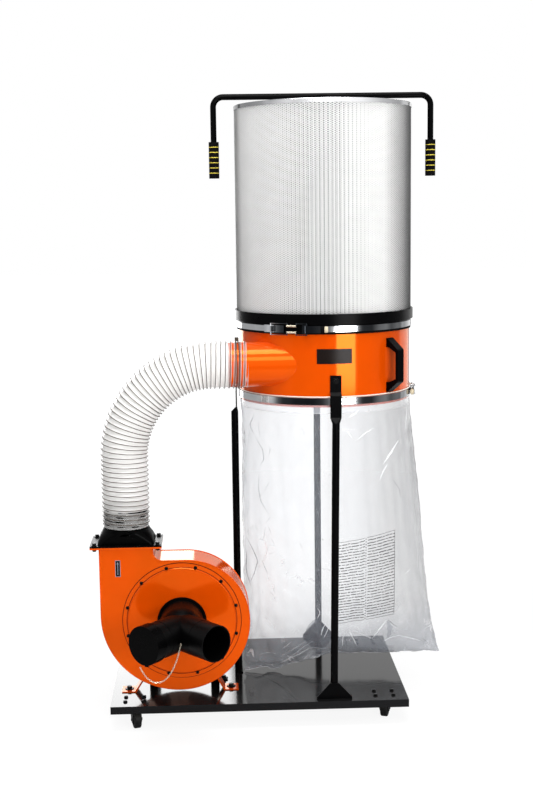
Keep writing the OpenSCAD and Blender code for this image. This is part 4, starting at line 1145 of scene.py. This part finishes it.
def makeLabel(v):
    y = coverFront + v["behind"]
    x, z, w, h = v["x"], v["z"], v["wide"] / 2, v["tall"] / 2
    for part, finish in (("rim", "labelGrey"), ("plate", "plateBlack")):
        depth, thick = v[part]
        addPiece("arrowLabel." + part, [slab(x - w, x + w, z - h, z + h, y - depth, thick)], finish, smooth=0)
        if part == "rim":
            w, h = w - v["edge"], h - v["edge"]
    (depth, thick), s, top = v["arrow"], v["shaft"] / 2, z + h * v["shaftHigh"]
    front, wide, low = y - depth - thick, v["headWide"] * s, top - v["headLap"]
    head = ([(x - wide, front, low), (x + wide, front, low), (x, front, z + h * v["headHigh"])], [(0, 1, 2)])
    addPiece("arrowLabel.arrow", [slab(x - s, x + s, z - h * v["shaftLow"], top, y - depth, thick), head],
             "labelGrey", smooth=0)


makeLabel(arrowLabel)
print("small pieces made")

# each lamp: place, target, size and power; the floor glows white to the camera from near to far
studio = {"world": 0.36, "floor": (0.85, 0.85, 0.85), "floorSize": 30, "glow": (0.85, 1.0),
          "fade": (1.3, 3.5), "white": 1.06,
          "lamps": {"keyRight": ((1.30, -2.52, 0.96), (0.167, 0, 0.95), (1.25, 0.76), 38),
                    "front": ((-0.15, -2.6, 2.7), (0, 0, 0.8), (1.5, 1.0), 28),
                    "top": ((-0.05, -0.75, 3.1), (-0.05, 0, 1.0), (1.5, 1.05), 54),
                    "fillLeft": ((-2.5, -1.3, 1.4), (0, 0, 0.8), (2.0, 2.0), 4),
                    "backRight": ((2.2, 2.0, 1.4), (0, 0, 0.9), (2.0, 2.0), 12),
                    "backLeft": ((-0.85, 2.5, 1.0), (0, 0, 0.5), (1.6, 1.3), 32)}}


def areaLight(name, at, target, size, power):
    data = bpy.data.lights.new(name, "AREA")
    data.shape = "RECTANGLE"
    data.size, data.size_y = size
    data.energy = power
    lamp = newObject(name, data)
    lamp.location = at
    lamp.rotation_euler = (Vector(target) - Vector(at)).to_track_quat("-Z", "Y").to_euler()
    lamp.visible_camera = False


def makeWorld(v):
    # white where it is seen, and dimmer as a light
    world = bpy.data.worlds.new("studio")
    bpy.context.scene.world = world
    world.use_nodes = True
    tree = world.node_tree
    tree.nodes.clear()
    rays = addNode(tree, "ShaderNodeLightPath").outputs
    seen = combined(tree, "MAXIMUM", rays["Is Camera Ray"], rays["Is Glossy Ray"],
                    rays["Is Transmission Ray"])
    back = addNode(tree, "ShaderNodeBackground",
                   {"Color": (1, 1, 1, 1), "Strength": scaled(tree, seen, v["world"], 1.0)})
    addNode(tree, "ShaderNodeOutputWorld", {"Surface": back.outputs[0]})


def makeFloor(v):
    # a pale floor that keeps the shadow and goes on into the white background
    tree, shader = newMaterial("floorPaint", Base_Color=(*v["floor"], 1), Roughness=0.8)
    away = addNode(tree, "ShaderNodeVectorMath", {0: objectPlace(tree)}, operation="LENGTH").outputs["Value"]
    seen = addNode(tree, "ShaderNodeLightPath").outputs["Is Camera Ray"]
    lit = combined(tree, "MULTIPLY", seen, ranged(tree, away, *v["fade"], *v["glow"]))
    glow = addNode(tree, "ShaderNodeEmission", {"Color": (1, 1, 1, 1), "Strength": v["white"]})
    mix = addNode(tree, "ShaderNodeMixShader", {0: lit, 1: shader.outputs[0], 2: glow.outputs[0]})
    tree.links.new(mix.outputs[0], tree.nodes["Material Output"].inputs["Surface"])
    s = v["floorSize"]
    newMesh("floor", [(-s, -s, 0), (s, -s, 0), (s, s, 0), (-s, s, 0)], [(0, 1, 2, 3)], "floorPaint")


for lampName, lamp in studio["lamps"].items():
    areaLight(lampName, *lamp)
makeWorld(studio)
makeFloor(studio)

cameraSetup = {"at": (-0.1575, -3.6093, 1.417), "right": 1.843, "down": 8.145, "roll": -0.832, "lens": 57.56,
               "shift": (0.0153, 0.0017), "far": 100}


def makeCamera(v):
    data = bpy.data.cameras.new("camera")
    data.lens = v["lens"]
    data.shift_x, data.shift_y = v["shift"]
    data.clip_end = v["far"]
    camera = newObject("camera", data)
    yaw, pitch, roll = (radians(v[k]) for k in ("right", "down", "roll"))
    forward = Vector((sin(yaw) * cos(pitch), cos(yaw) * cos(pitch), -sin(pitch)))
    side = Vector((cos(yaw), -sin(yaw), 0))
    up = side.cross(forward)
    across = side * cos(roll) + up * sin(roll)
    upward = -side * sin(roll) + up * cos(roll)
    turned = Matrix((across, upward, -forward)).transposed().to_4x4()
    camera.matrix_world = Matrix.Translation(v["at"]) @ turned
    bpy.context.scene.camera = camera


makeCamera(cameraSetup)
bpy.context.scene.view_settings.view_transform = "Standard"
